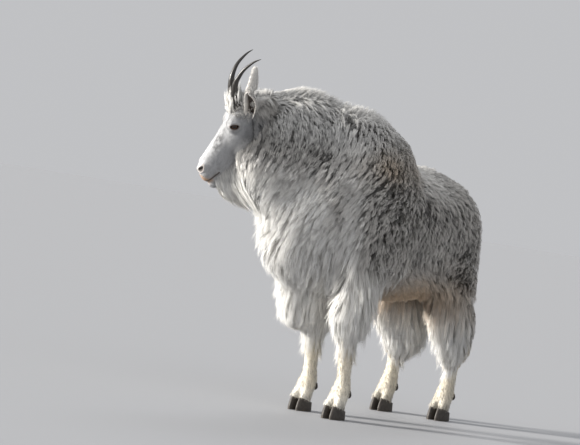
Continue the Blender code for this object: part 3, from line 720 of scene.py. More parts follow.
def coat_colour(P, part, N):
    """The colour of the coat's tips at each place. The same field paints the skin."""
    n = len(P)
    f, z = -P[:, 1], P[:, 2]
    white = np.array([.93, .92, .895])
    # the wool's grey is partly dirty wool and partly painted shade of the sides that face away from the light
    wool = np.array([.535, .516, .488])
    c = np.tile(wool, (n, 1))
    # clean long hair: chest, legs, throat, crest; the coat that faces up on the neck and back is whitened too, partly
    # real crest hair and partly a painted highlight on the tops, with its white a little greyer there
    w = long_hair(P, part, N)
    up = sstep(f, .15, .30)
    top = sstep(N[:, 2] + .22 * up, .45, .85) * (np.isin(part, (0, 1)) | ((part == 3) & (f > .42))) * (1 - .90 * sstep(f, -.04, -.18))
    w = np.maximum(w, top * (.55 + .20 * up))
    # the upper neck is made darker
    c = c * (1 - .16 * sstep(f, .20, .32) * sstep(z, .78, .86) * (part == 1))[:, None]
    c = c + (white * (1 - .10 * (w * (top > .3)))[:, None] - c) * w[:, None]
    # warm stain on the side of the neck and behind the shoulder, tan belly
    stain = .85 * blob(P, (.03, -.22, .80), (.3, .06, .045)) + .35 * blob(P, (.0, -.10, .80), (.3, .05, .05))
    belly = 1.3 * blob(P, (0, .10, .41), (.3, .20, .060)) * (1 - .45 * w)
    c = c + (np.array([.60, .47, .33]) - c) * np.clip(stain, 0, 1)[:, None] * .75
    c = c + (np.array([.58, .43, .285]) - c) * np.clip(belly, 0, 1)[:, None] * .90
    # dirty grey-brown patches on rump, lower flank, behind the elbow and the shoulder
    k = noise(P, .022, 3) * .6 + noise(P, .009, 4) * .4
    dirt = .70 * blob(P, (0, .40, .66), (.4, .075, .085)) + .85 * blob(P, (0, .22, .50), (.4, .13, .05)) + .6 * blob(P, (.1, -.10, .50), (.12, .06, .05)) + .35 * blob(P, (.1, .02, .74), (.2, .05, .09)) + .4 * blob(P, (0, .34, .47), (.4, .07, .06))
    dirt = np.clip(dirt * (1 - .7 * w), 0, 1) * sstep(k, .30, .62)
    c = c + (np.array([.30, .265, .225]) - c) * (.42 * dirt)[:, None]
    fleck = sstep(noise(P, .007, 5), .66, .82) * (1 - w) * (part != 3)
    c = c * (1 - .22 * fleck)[:, None]
    # yellowish lower legs
    sh = (part >= 8) & (part <= 11)
    low = sh * sstep(z, .30, .24)
    c = c + (np.array([.82, .755, .62]) - c) * (.85 * low * (1 - .35 * sstep(z, .10, .05)))[:, None]
    c = c * (1 - .20 * sh * sstep(noise(P * [1.6, 1.6, .5], .0075, 61), .40, .70) - .22 * sh * sstep(z, .065, .035))[:, None]
    # the face: its grey is partly the fur's own tone and partly painted shade on the side of the face
    s, t, w1 = head_of(P)
    face = (part == 3) * sstep(s, -.03, .02)
    fc = np.tile(np.array([.475, .476, .483]), (n, 1))
    # the bridge of the nose is made lighter, a painted highlight
    fc = fc * (1 + .42 * sstep(t, -.03, -.008) * sstep(np.abs(w1), .030, .012))[:, None]
    streaks = noise(np.stack([s * .35, t, w1], 1), .0042, 17) * .6 + noise(np.stack([s * .5, t, w1], 1), .0085, 18) * .4
    fc = fc * (1 - .16 * sstep(streaks, .55, .30))[:, None]
    speck = blob(np.stack([s, t, np.abs(w1)], 1), (.125, -.022, .024), (.050, .018, .012))
    fc = fc * (1 - .62 * np.clip(speck * 1.2, 0, 1) * sstep(noise(P, .0058, 8), .42, .60))[:, None]
    fc = fc * (1 - .10 * sstep(noise(P, .006, 9), .55, .8) * sstep(s, .15, .20))[:, None]
    # the lower face and the cheek are made darker, painted shade
    fc = fc * (1 - .10 * sstep(t, -.030, -.060))[:, None] * (1 - .36 * sstep(t, -.055, -.095) * sstep(s, .20, .12))[:, None]
    c = c + (fc - c) * face[:, None]
    # bare skin of nostrils, lips and lids; the inside of each nostril and the slit of the mouth are painted near black,
    # painted shade
    for side in (1, -1):
        o = opening(s, t, w1, side)
        near = face * (w1 * side > .035)
        c = c + (np.array([.07, .055, .05]) - c) * (near * sstep(o, .0046, .0010))[:, None]
        c = c + (np.array([.36, .33, .31]) - c) * (near * .7 * sstep(o, .0075, .0034) * sstep(o, .0005, .003))[:, None]
        q = nostril(s, t, w1, side)
        # painted shade inside the nostril
        c = c + (np.array([.012, .010, .010]) - c) * (face * (w1 * side > 0) * sstep(q, .0012, -.0006))[:, None]
        c = c + (np.array([.30, .24, .20]) - c) * (face * (w1 * side > 0) * .55 * sstep(q, .0050, .0015) * sstep(q, -.001, .001))[:, None]
    ml = mouth_line(s, t)
    mouth_on = face * (s > MOUTH[0] - .002) * (t > -.10)
    tan = mouth_on * np.maximum(sstep(s, .238, .252) * np.exp(-((ml + .001) / .0085) ** 2), sstep(s, .243, .254) * sstep(t, -.058, -.048) * sstep(t, -.016, -.024), .30 * sstep(s, .250, .262) * sstep(t, -.085, -.070))
    c = c + (np.array([.60, .36, .19]) - c) * (.85 * tan)[:, None]
    rimc = mouth_on * np.exp(-(ml / .0042) ** 2)
    c = c + (np.array([.34, .25, .20]) - c) * (.55 * rimc)[:, None]
    # painted shade in the slit of the mouth
    slit = mouth_on * np.exp(-(ml / .0024) ** 2)
    c = c + (np.array([.035, .025, .022]) - c) * np.clip(slit * 1.5, 0, 1)[:, None]
    return np.clip(c, 0, 1)


def long_hair(P, part, N):
    """How far a place belongs to the long straight white hair: throat, chest, belly line and legs."""
    f, z = -P[:, 1], P[:, 2]
    front = sstep(N @ unit([-.35, -.93, -.10]), .10, .60)
    w = front * sstep(z, .83, .70) * sstep(f, .22, .32)
    throat = sstep(-N[:, 2], .05, .45) * sstep(f, .26, .34) * sstep(z, .80, .70)
    w = np.maximum(w, throat)
    w = np.maximum(w, ((part == 2) * sstep(z, .66, .56)).astype(float))
    fore = ((part == 4) | (part == 5)) * sstep(z, .53, .45)
    fore = np.maximum(fore, (f > .05) * (f < .34) * sstep(z, .53, .46) * 1.0)
    hind = ((part == 6) | (part == 7)) * sstep(z, .46, .37)
    w = np.maximum(w, np.maximum(fore, hind))
    return np.clip(w, 0, 1)


# ---------------------------------------------------------------- the skin, with its ears
def axis(lo, hi, coarse, fine, a, b):
    x = [lo]
    while x[-1] < hi:
        x.append(x[-1] + (fine if a < x[-1] < b else coarse))
    return np.array(x)


xs = axis(-.37, .22, .0080, .0024, -.34, -.165)
ys = axis(-.64, .50, .0080, .0024, -.625, -.495)
zs = axis(.02, 1.03, .0080, .0025, .625, .93)
skin_v, skin_q = surface(skin_field, xs, ys, zs, .045)
# small loose shells, left where two surfaces just fail to meet, are dropped
parent = np.arange(len(skin_v))
lab = parent.copy()
for _ in range(400):
    new = lab.copy()
    m = lab[skin_q].min(1)
    for j in range(4):
        np.minimum.at(new, skin_q[:, j], m)
    new = new[new]
    if (new == lab).all():
        break
    lab = new
main = np.bincount(lab).argmax()
keepers = lab == main
skin_q = skin_q[keepers[skin_q].all(1)]
idx = np.cumsum(keepers) - 1
skin_v, skin_q = skin_v[keepers], idx[skin_q]


def slope(fun, P, h=.0012):
    return norm(np.stack([fun((P + e).astype(np.float32)) - fun((P - e).astype(np.float32)) for e in np.eye(3) * h], 1))


skin_n = slope(skin_field, skin_v, .0015)
skin_part = part_of(skin_v)

EAR = {1: ((-.003, -.0755, .044), (-.0700, -.0220, .108)), -1: ((-.003, -.0755, -.044), (-.114, -.064, -.106))}
EAR_ROWS = [(0, .0128), (.05, .0140), (.10, .0156), (.25, .0186), (.42, .0202), (.60, .0188), (.77, .0148), (.90, .0096), (.97, .0054), (1.0, .0016)]


def ear_surface(side, nu=30, nv=17):
    """Front and back sheets of the cupped ear: places, outward directions, u along it and v across it."""
    a, b = (H(*p) for p in EAR[side])
    L = unit(b - a)
    face = HS * .10 + HT * .56 + HW * .82 * side
    face = unit(face - L * (face @ L))
    wide = np.cross(L, face)
    length = np.linalg.norm(b - a)
    u = np.linspace(0, 1, nu)[:, None]
    v = np.linspace(-1, 1, nv)[None]
    r = np.asarray(EAR_ROWS)
    half = np.interp(u[:, 0], r[:, 0], r[:, 1])[:, None]
    mid = a + L * (length * u[..., None]) - face * (.012 * np.sin(np.pi * u[..., None])) + face * .004
    cup = .0185 * (1 - .55 * u)
    roll = 1 + .0 * v
    deep = .0050 * np.exp(-((u - .25) / .22) ** 2)
    front = mid + wide * (half * v * roll)[..., None] + face * (cup * v * v - deep * (1 - v * v) - .0012 + .0012 * np.abs(v) ** 6)[..., None]
    th = .0046 * (1 - .45 * u)
    backs = mid + wide * ((half + .0007) * v)[..., None] + face * (cup * v * v - th * (1 + .5 * (1 - v * v)))[..., None]
    return front, backs, face, wide, L, half


def ear_mesh(side):
    front, backs, face, wide, L, half = ear_surface(side)
    nu, nv, _ = front.shape
    V = np.concatenate([front.reshape(-1, 3), backs.reshape(-1, 3)])
    def grid(off, flip):
        i, j = np.meshgrid(np.arange(nu - 1), np.arange(nv - 1), indexing="ij")
        a = off + i * nv + j
        q = np.stack([a, a + 1, a + nv + 1, a + nv], -1).reshape(-1, 4)
        return q[:, ::-1] if flip else q
    o = nu * nv
    Q = [grid(0, False), grid(o, True)]
    for j in (0, nv - 1):
        i = np.arange(nu - 1)
        a, b = i * nv + j, (i + 1) * nv + j
        q = np.stack([a, b, b + o, a + o], 1)
        Q.append(q if j == 0 else q[:, ::-1])
    j = np.arange(nv - 1)
    a = (nu - 1) * nv + j
    Q.append(np.stack([a, a + 1, a + 1 + o, a + o], 1))
    Q = np.concatenate(Q)
    # faces are turned outwards as a whole
    c = V.mean(0)
    fn = np.cross(V[Q[:, 1]] - V[Q[:, 0]], V[Q[:, 2]] - V[Q[:, 0]])
    if (fn[: (nu - 1) * (nv - 1)] @ face).sum() < 0:
        Q = Q[:, ::-1]
    u = np.repeat(np.linspace(0, 1, nu), nv)
    v = np.tile(np.linspace(-1, 1, nv), nu)
    # the inside of the ear's cup is painted near black, painted shade, browner towards the tip
    pale, dark = np.array([.66, .63, .60]), np.array([.035, .025, .020])
    inner = sstep(np.abs(v), .86, .62) * sstep(u, .95, .84)
    cf = pale + (dark - pale) * inner[:, None]
    cf = cf + (np.array([.30, .24, .21]) - cf) * (.4 * inner * sstep(u, .55, .85))[:, None]
    cb = np.tile(pale * 1.08, (len(u), 1))
    return V, Q, np.concatenate([cf, cb])


base_tint = coat_colour(skin_v, skin_part, skin_n)
# under deep hair the skin and the underwool are in shade
depth_here = np.clip(-coat_field(skin_v.astype(np.float32)), 0, .06)
deep = sstep(depth_here, .005, .022)
long_here = long_hair(skin_v, skin_part, skin_n)
skin_tint = base_tint * (1 - (.50 - .43 * long_here) * deep)[:, None]
V_all, Q_all, C_all = [skin_v], [skin_q], [skin_tint]
count = len(skin_v)
for side in (1, -1):
    v, q, c = ear_mesh(side)
    V_all.append(v)
    Q_all.append(q + count)
    C_all.append(c)
    count += len(v)
skin = make_quads("skin", np.concatenate(V_all), np.concatenate(Q_all), colour=np.concatenate(C_all))
mat_skin = material("short_coat", .62, sheen=.25, bump=((520.0, (1, 1, .45), .0009), (1500.0, (1, 1, .5), .0004)), spec=.25)
skin.data.materials.append(mat_skin)
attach(skin, "root")
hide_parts("trunk", "neck", "head", "tail", "leg_fl", "leg_fr", "leg_hl", "leg_hr", "ear_l", "ear_r")


# ---------------------------------------------------------------- eyes
def eye_piece(name, side):
    c = H(EYE_AT[0], EYE_AT[1], side * .0415)
    axis_ = HW * side
    e1 = HS * EYE_LONG[0] + HT * EYE_LONG[1]
    e2 = np.cross(axis_, e1)
    nr, nt_ = 40, 48
    V = [c + axis_ * .0158]
    th = np.linspace(0, np.pi * .97, nr)[1:]
    ph = np.linspace(0, 2 * np.pi, nt_, endpoint=False)
    for a in th:
        r = .0158 + (.0010 * max(0.0, math.cos(a * 2.1)) if a < .75 else 0)
        for b in ph:
            V.append(c + r * (axis_ * math.cos(a) + (e1 * math.cos(b) + e2 * math.sin(b)) * math.sin(a)))
    V = np.array(V)
    loops, starts = [], []
    for j in range(nt_):
        starts.append(len(loops))
        loops += [0, 1 + j, 1 + (j + 1) % nt_]
    for i in range(len(th) - 1):
        for j in range(nt_):
            starts.append(len(loops))
            a, b = 1 + i * nt_, 1 + (i + 1) * nt_
            loops += [a + j, b + j, b + (j + 1) % nt_, a + (j + 1) % nt_]
    starts.append(len(loops))
    loops += [1 + (len(th) - 1) * nt_ + j for j in range(nt_)][::-1]
    d = V - c
    x, y, z = d @ e1, d @ e2, d @ axis_
    rad = np.sqrt(x * x + y * y)
    col = np.tile(np.array([.045, .030, .022]), (len(V), 1))
    ang = np.arctan2(y, x)
    iris = np.array([.075, .032, .012]) * (1 + .35 * np.sin(ang * 23)[:, None] * .5 + .2 * np.sin(ang * 41)[:, None] * .5)
    on = (sstep(rad, .0098, .0092) * (z > 0))[:, None]
    col = col + (iris - col) * on
    ring = (np.exp(-((rad - .0095) / .0010) ** 2) * (z > 0))[:, None]
    col = col * (1 - .8 * ring)
    pupil = (sstep(np.sqrt((x / .0072) ** 2 + (y / .0034) ** 2), 1.08, .92) * (z > 0))[:, None]
    col = col + (np.array([.004, .004, .005]) - col) * pupil
    loops = np.array(loops)
    fn = np.cross(V[loops[1]] - V[loops[0]], V[loops[2]] - V[loops[0]]) @ axis_
    ob = make_mesh(name + "_ball", V, loops, np.array(starts), colour=np.clip(col, 0, 1))
    if fn < 0:
        ob.data.flip_normals()
    ob.data.materials.append(mat_eye)
    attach(ob, "root")
    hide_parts(name)
    return ob


mat_eye = material("eye", .10, coat=.25, spec=.30)
for side, nm in ((1, "eye_l"), (-1, "eye_r")):
    eye_piece(nm, side)

# ---------------------------------------------------------------- horns
HORN = [(.024, -.040, .022, .0145), (-.006, -.021, .0235, .0143), (-.034, .000, .026, .0118), (-.062, .0125, .030, .0088), (-.088, .0155, .036, .0067),
        (-.112, .013, .043, .0052), (-.134, .005, .050, .0040), (-.151, -.004, .057, .0027), (-.166, -.0165, .0655, .0009)]


# the left horn leans back a little more than the right one
NEAR = [0, 0, -.0015, -.0035, -.0060, -.0065, -.0065, -.0060, -.0050]


def ring_loft(rings):
    """A closed loft of equal rings, capped."""
    k, n = len(rings), len(rings[0])
    V = np.concatenate([np.asarray(r) for r in rings] + [[np.mean(rings[0], 0)], [np.mean(rings[-1], 0)]])
    i, j = np.meshgrid(np.arange(k - 1), np.arange(n), indexing="ij")
    j2 = (j + 1) % n
    Q = np.stack([i * n + j, i * n + j2, (i + 1) * n + j2, (i + 1) * n + j], -1).reshape(-1, 4)
    jj = np.arange(n)
    T0 = np.stack([np.full(n, k * n), (jj + 1) % n, jj], 1)
    T1 = np.stack([np.full(n, k * n + 1), (k - 1) * n + jj, (k - 1) * n + (jj + 1) % n], 1)
    loops = np.concatenate([Q.ravel(), T0.ravel(), T1.ravel()])
    starts = np.concatenate([np.arange(len(Q)) * 4, len(Q) * 4 + np.arange(2 * n) * 3])
    return V, loops, starts


def outward(ob, c):
    me = ob.data
    n = np.empty(len(me.polygons) * 3, np.float32)
    p = n.copy()
    me.polygons.foreach_get("normal", n)
    me.polygons.foreach_get("center", p)
    a = np.empty(len(me.polygons), np.float32)
    me.polygons.foreach_get("area", a)
    if ((n.reshape(-1, 3) * (p.reshape(-1, 3) - c - SHIFT)).sum(1) * a).sum() < 0:
        me.flip_normals()


def horn_piece(name, side):
    q, length = spline([tuple(H(s, t + (k if side > 0 else 0), side * w)) + (r, 0, 0) for (s, t, w, r), k in zip(HORN, NEAR)], 120)
    C, r = q[:, :3], q[:, 3]
    u = np.linspace(0, 1, 120)
    T = np.gradient(C, axis=0)
    T /= np.linalg.norm(T, axis=1)[:, None]
    S = HW[None] - T * (T @ HW)[:, None]
    S /= np.linalg.norm(S, axis=1)[:, None]
    U = np.cross(S, T)
    # growth rings: shallow steps, closer near the base
    ring = np.sin(2 * np.pi * (u ** .8) * 15 + .6 * np.sin(u * 40)) * .5 + .5
    r = r * (1 - .045 * ring * np.clip(1.15 - 1.5 * u, 0, 1))
    th = np.linspace(0, 2 * np.pi, 24, endpoint=False)
    flute = 1 - .018 * np.cos(th * 5 + .4)
    rings = [c + s * (np.cos(th) * k * .90 * flute)[:, None] + w * (np.sin(th) * k * flute)[:, None] for c, s, w, k in zip(C, S, U, r)]
    V, loops, starts = ring_loft(rings)
    uu = np.concatenate([np.repeat(u, 24), [0, 1]])
    streak = noise(np.stack([np.concatenate([np.tile(th, 120), [0, 0]]) * .010, uu * .004, uu * 0], 1), .004, 11)
    ringc = np.concatenate([np.repeat(ring, 24), [0, 0]])
    col = np.array([.032, .028, .025])[None] * (.55 + .9 * streak[:, None])
    col = col * (1 - .35 * (ringc * np.clip(1 - 1.3 * uu, 0, 1))[:, None])
    col = col + (np.array([.080, .070, .060]) - col) * (.40 * sstep(uu, .30, .05) * streak)[:, None]
    ob = make_mesh(name + "_sheath", V, loops, starts, colour=np.clip(col, 0, 1))
    outward(ob, C[50])
    ob.data.materials.append(mat_horn)
    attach(ob, "root")
    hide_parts(name)
    return ob


mat_horn = material("horn", .34, bump=((300.0, (1, 1, .15), .00035),), spec=.5)
for side, nm in ((1, "horn_l"), (-1, "horn_r")):
    horn_piece(nm, side)

# ---------------------------------------------------------------- hooves and dewclaws
OUTLINE = [(.000, .0035), (.022, .0035), (.046, .0045), (.064, .011), (.060, .0215), (.046, .029), (.026, .0325), (.006, .031), (-.006, .022), (-.006, .0105)]


def closed_curve(P, n):
    P = np.asarray(P, float)
    k = len(P)
    out = []
    for i in range(k):
        p0, p1, p2, p3 = P[i - 1], P[i], P[(i + 1) % k], P[(i + 2) % k]
        t = np.linspace(0, 1, 16, endpoint=False)[:, None]
        out.append(.5 * ((2 * p1) + (-p0 + p2) * t + (2 * p0 - 5 * p1 + 4 * p2 - p3) * t * t + (-p0 + 3 * p1 - 3 * p2 + p3) * t ** 3))
    q = np.concatenate(out)
    d = np.concatenate([[0], np.cumsum(np.linalg.norm(np.diff(np.vstack([q, q[:1]]), axis=0), axis=1))])
    u = np.linspace(0, d[-1], n, endpoint=False)
    q = np.vstack([q, q[:1]])
    return np.stack([np.interp(u, d, q[:, j]) for j in range(2)], 1)


def hoof_piece(name, x, f, side):
    o = closed_curve(OUTLINE, 56)
    c = np.array([.028, .017])
    rings = []
    rows_ = [(0.0, .900), (0.0, .955), (.012, .982)] + [(k, float(np.interp(k, [0, .22, .62, 1.0], [.985, 1.0, .93, .84]))) for k in np.linspace(.05, .985, 22)] + [(1.0, .825), (1.0, .70)]
    for i, (k, sc) in enumerate(rows_):
        line = 1 - .007 * (math.sin(k * 44 + 1.3 * math.sin(k * 9)) * .5 + .5) * (0.05 < k < .97)
        b = np.interp(k, [0, .22, .62, 1.0], [0, 0, -.002, -.005])
        uu = c[0] + (o[:, 0] - c[0]) * sc * line + b
        vv = c[1] + (o[:, 1] - c[1]) * sc * line
        z = k * (.028 + .016 * uu / .06 - .0004)
        rings.append(np.stack([x + side * vv, -(f + uu), z], 1))
    V, loops, starts = ring_loft(rings)
    kk = np.concatenate([np.repeat([r[0] for r in rows_], 56), [0, 1]])
    n1 = noise(V, .004, 21)
    col = np.array([.046, .039, .033])[None] * (.6 + .8 * n1[:, None])
    col = col + (np.array([.13, .11, .09]) - col) * (.5 * sstep(kk, .10, .0) + .35 * sstep(kk, .80, 1.0))[:, None]
    ob = make_mesh(name + "_wall", V, loops, starts, colour=np.clip(col, 0, 1))
    outward(ob, np.array([x + side * .017, -(f + .028), .015]))
    ob.data.materials.append(mat_hoof)
    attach(ob, "root")
    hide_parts(name)
    return ob


def dew_piece(name, x, f, side):
    n, k = 20, 12
    a = np.linspace(0, np.pi, k + 2)[1:-1]
    th = np.linspace(0, 2 * np.pi, n, endpoint=False)
    rings = []
    for v in a:
        nx, ny, nz = np.sin(v) * np.cos(th), np.sin(v) * np.sin(th), np.full(n, np.cos(v))
        rings.append(np.stack([x + side * .015 + nx * .0074, -(f - .023) + ny * .0084 + (nz < 0) * .002, .080 + nz * .0128], 1))
    V, loops, starts = ring_loft(rings)
    col = np.array([.046, .039, .033])[None] * (.6 + .8 * noise(V, .004, 22)[:, None])
    ob = make_mesh(name + "_cap", V, loops, starts, colour=col)
    outward(ob, V.mean(0))
    ob.data.materials.append(mat_hoof)
    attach(ob, "root")
    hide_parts(name)
    return ob


mat_hoof = material("hoof", .55, bump=((500.0, (1, 1, 1), .0003),), spec=.4)
for k, (x, f) in FOOT.items():
    out = 1 if x > 0 else -1
    for side, nm in ((out, "outer"), (-out, "inner")):
        hoof_piece(f"hoof_{k}_{nm}", x, f, side)
        dew_piece(f"dewclaw_{k}_{nm}", x, f, side)

# ---------------------------------------------------------------- the lie of the hair
# side view places (forward, up) and there the hair's run: forward and down
LIE = np.array([
    (.52, .90, .20, 1.0), (.48, .82, .50, .9), (.40, .92, .30, 1.0), (.42, .80, .95, .6), (.31, .86, .75, .65), (.30, .73, 1.0, .50), (.20, .82, .65, .75),
    (.20, .69, .80, .60), (.32, .60, .60, .80), (.24, .53, .40, .90), (.10, .80, .35, .95), (.08, .64, .45, .90), (.00, .76, .10, 1.0), (-.02, .56, .15, 1.0),
    (-.12, .72, .0, 1.0), (-.14, .57, .15, 1.0), (-.22, .50, .85, .50), (-.25, .68, .10, 1.0), (-.32, .58, .40, .90), (-.38, .70, -.25, .95), (-.33, .47, .50, .90),
    (-.43, .60, -.10, 1.0), (-.05, .43, -.8, .45), (-.15, .43, -.6, .50), (.10, .46, -.1, 1.0), (.26, .42, .05, 1.0), (.20, .33, .0, 1.0), (-.29, .38, .15, 1.0), (-.33, .28, .0, 1.0)])


def flow_at(P, g):
    f, z = -P[:, 1], P[:, 2]
    w = 1.0 / ((f[:, None] - LIE[:, 0]) ** 2 + (z[:, None] - LIE[:, 1]) ** 2 + .0012) ** 2
    w /= w.sum(1)[:, None]
    a, b = w @ LIE[:, 2], w @ LIE[:, 3]
    top = np.clip(g[:, 2], 0, 1) ** 2
    F = np.stack([np.zeros(len(P)), -a + 1.5 * top, -b], 1)
    F[:, 0] += .35 * np.sign(P[:, 0] + .09 * sstep(f, .15, .4)) * np.clip(g[:, 2], 0, 1) * (1 - top)
    return norm(F)


def along(F, g):
    return norm(F - g * (F * g).sum(1, keepdims=True) + 1e-6)


def sample(mask, count, seed):
    """About count roots spread evenly over the chosen faces of the skin."""
    r = np.random.default_rng(seed)
    q = skin_q[mask]
    c = skin_v[q]
    areas = .5 * np.linalg.norm(np.cross(c[:, 2] - c[:, 0], c[:, 3] - c[:, 1]), axis=1)
    total = areas.sum()
    cell = math.sqrt(1.5 * total / count)
    n = int(total / cell ** 2 * 7)
    pick = r.choice(len(q), n, p=areas / total)
    u, v = r.random((n, 1)), r.random((n, 1))
    w4 = np.stack([(1 - u) * (1 - v), u * (1 - v), u * v, (1 - u) * v], 1)
    P = (c[pick] * w4).sum(1)
    N = norm((skin_n[q[pick]] * w4).sum(1))
    k = np.floor(P / cell + r.random(3)).astype(np.int64)
    key = (k[:, 0] * 4001 + k[:, 1]) * 4001 + k[:, 2]
    _, first = np.unique(key, return_index=True)
    return P[first], N[first], skin_part[q[pick[first], 0]], cell


def grow(P, N, L, steps, rise, flow, lim, hang=None, sink=.0015, flare=0.0):
    """Guide lines: each leaves the skin, turns into the flow and keeps under the coat's outline."""
    p = P - N * sink
    pts, nrm = [p.copy()], [N.copy()]
    s0, g = CG(p)
    depth0 = s0
    d = norm(N * .75 + flow(p, N) * .65)
    out_len = np.full(len(P), 9.0)
    gone = np.zeros(len(P))
    for i in range(steps):
        ds = L / steps
        u = (i + 1) / steps
        s, g = CG(p)
        F = flow(p, g)
        want = depth0 * (1 - min(1.0, u / rise)) + lim * min(1.0, u / rise) + flare * max(0.0, (u - .55) / .45)
        up_ = np.clip((want - s) / ds, -.65, .88)
        Ft = along(F, g)
        new = Ft * np.sqrt(1 - up_ ** 2)[:, None] + g * up_[:, None]
        if hang is not None:
            h = norm(F + g * (.55 * np.clip((want - s) / .03, -1, 1))[:, None])
            new = new * (1 - hang)[:, None] + h * hang[:, None]
        d = norm(d * .40 + new * .60)
        p = p + d * ds[:, None]
        if hang is not None:
            s2, g2 = CG(p)
            ex = np.clip(s2 - np.maximum(want, lim), 0, .02)
            sidewise = g2 - d * (g2 * d).sum(1, keepdims=True)
            p = p - sidewise * ex[:, None]
            leaving = (s2 > .001) & ((g2 * d).sum(1) > .45)
            gone = gone + ds
            out_len = np.where(leaving & (out_len > 8), gone, out_len)
        pts.append(p.copy())
        nrm.append(g.copy())
    return np.stack(pts, 1), np.stack(nrm, 1), out_len


def trimmed(pts, nrm, share):
    """Each guide cut to a share of its length."""
    m = pts.shape[1]
    x = np.linspace(0, 1, m)[None] * np.asarray(share)[:, None] * (m - 1)
    i = np.minimum(x.astype(int), m - 2)
    f = (x - i)[..., None]
    r = np.arange(len(pts))[:, None]
    return pts[r, i] * (1 - f) + pts[r, i + 1] * f, nrm[r, i] * (1 - f) + nrm[r, i + 1] * f


def children(pts, nrm, nb, K, spread, clump, seed, short=.35, thick=.35, wave=0.0, stray=.06):
    """nb blades round each guide, drawn together towards the tip."""
    r = np.random.default_rng(seed)
    n, m, _ = pts.shape
    N = n * nb
    g = np.repeat(np.arange(n), nb)
    ang, rad = r.random(N) * 2 * np.pi, np.sqrt(r.random(N))
    T0 = norm(pts[:, 1] - pts[:, 0])
    S0 = norm(np.cross(nrm[:, m // 2], norm(pts[:, -1] - pts[:, 0])))
    F0 = norm(np.cross(S0, nrm[:, 0]))
    spread = np.broadcast_to(np.asarray(spread), (n,))[g]
    a, b = rad * np.cos(ang), rad * np.sin(ang)
    lf = 1 - short * r.random(N) ** 1.5
    wild = r.random(N) < stray
    cl = np.where(wild, .15, np.broadcast_to(np.asarray(clump), (n,))[g] * (.8 + .3 * r.random(N)))
    x = np.linspace(0, 1, K + 1)[None] * lf[:, None]
    xi = x * (m - 1)
    i = np.minimum(xi.astype(int), m - 2)
    f = (xi - i)[..., None]
    base = pts[g[:, None], i] * (1 - f) + pts[g[:, None], i + 1] * f
    nor = norm(nrm[g[:, None], i] * (1 - f) + nrm[g[:, None], i + 1] * f)
    keep = 1 - np.clip(cl, 0, .97)[:, None] * x ** 1.1
    off = (S0[g] * a[:, None] + F0[g] * (b * .9)[:, None]) * spread[:, None]
    lift = (r.random(N) - .55) * thick * spread
    ph = r.random(n)[g] * 6.28 + r.random(N) * 1.2
    out = base + off[:, None] * keep[..., None] + nor * (lift[:, None] * np.minimum(1, x * 3))[..., None]
    if np.any(wave):
        wv = np.broadcast_to(np.asarray(wave), (n,))[g][:, None]
        out = out + S0[g][:, None] * (wv * np.sin(x * 11.0 + ph[:, None]) * np.minimum(1, x * 3))[..., None]
    return out, nor, g, x, S0[g], r


def keep_inside(pts, nor, lim, low=.0006, start=1):
    """Pushes blade points back under the outline and out of the skin."""
    n, m, _ = pts.shape
    q = pts[:, start:].reshape(-1, 3)
    s, gr = CG(q)
    lim = np.repeat(np.broadcast_to(lim, (n,)), m - start)
    q = q - gr * np.clip(s - lim, 0, .02)[:, None]
    s, gr = KG(q)
    q = q + gr * np.clip(low - s, 0, .01)[:, None]
    pts = pts.copy()
    pts[:, start:] = q.reshape(n, m - start, 3)
    return pts


def ridges(P, F, long_=4, scale=.0085, seed=31):
    """A pattern drawn out along the hair, from 0 in the gaps between locks to 1 on them."""
    wob = np.cross(F, np.array([1.0, 0, 0]))
    P = P + wob * (.0022 * np.sin((P * F).sum(1) * 190 + 9 * noise(P, .045, 33)))[:, None]
    v = 0
    for k in range(-long_, long_ + 1):
        v = v + noise(P + F * (.0062 * k), scale, seed)
    v = v / (2 * long_ + 1)
    return v


# every tuft is put down in one of these lists: (places, normals, sides, widths, colours, chart places, part)
TUFTS = {"wool": [], "long_hair": [], "crest": [], "face": [], "legs": [], "ears": []}


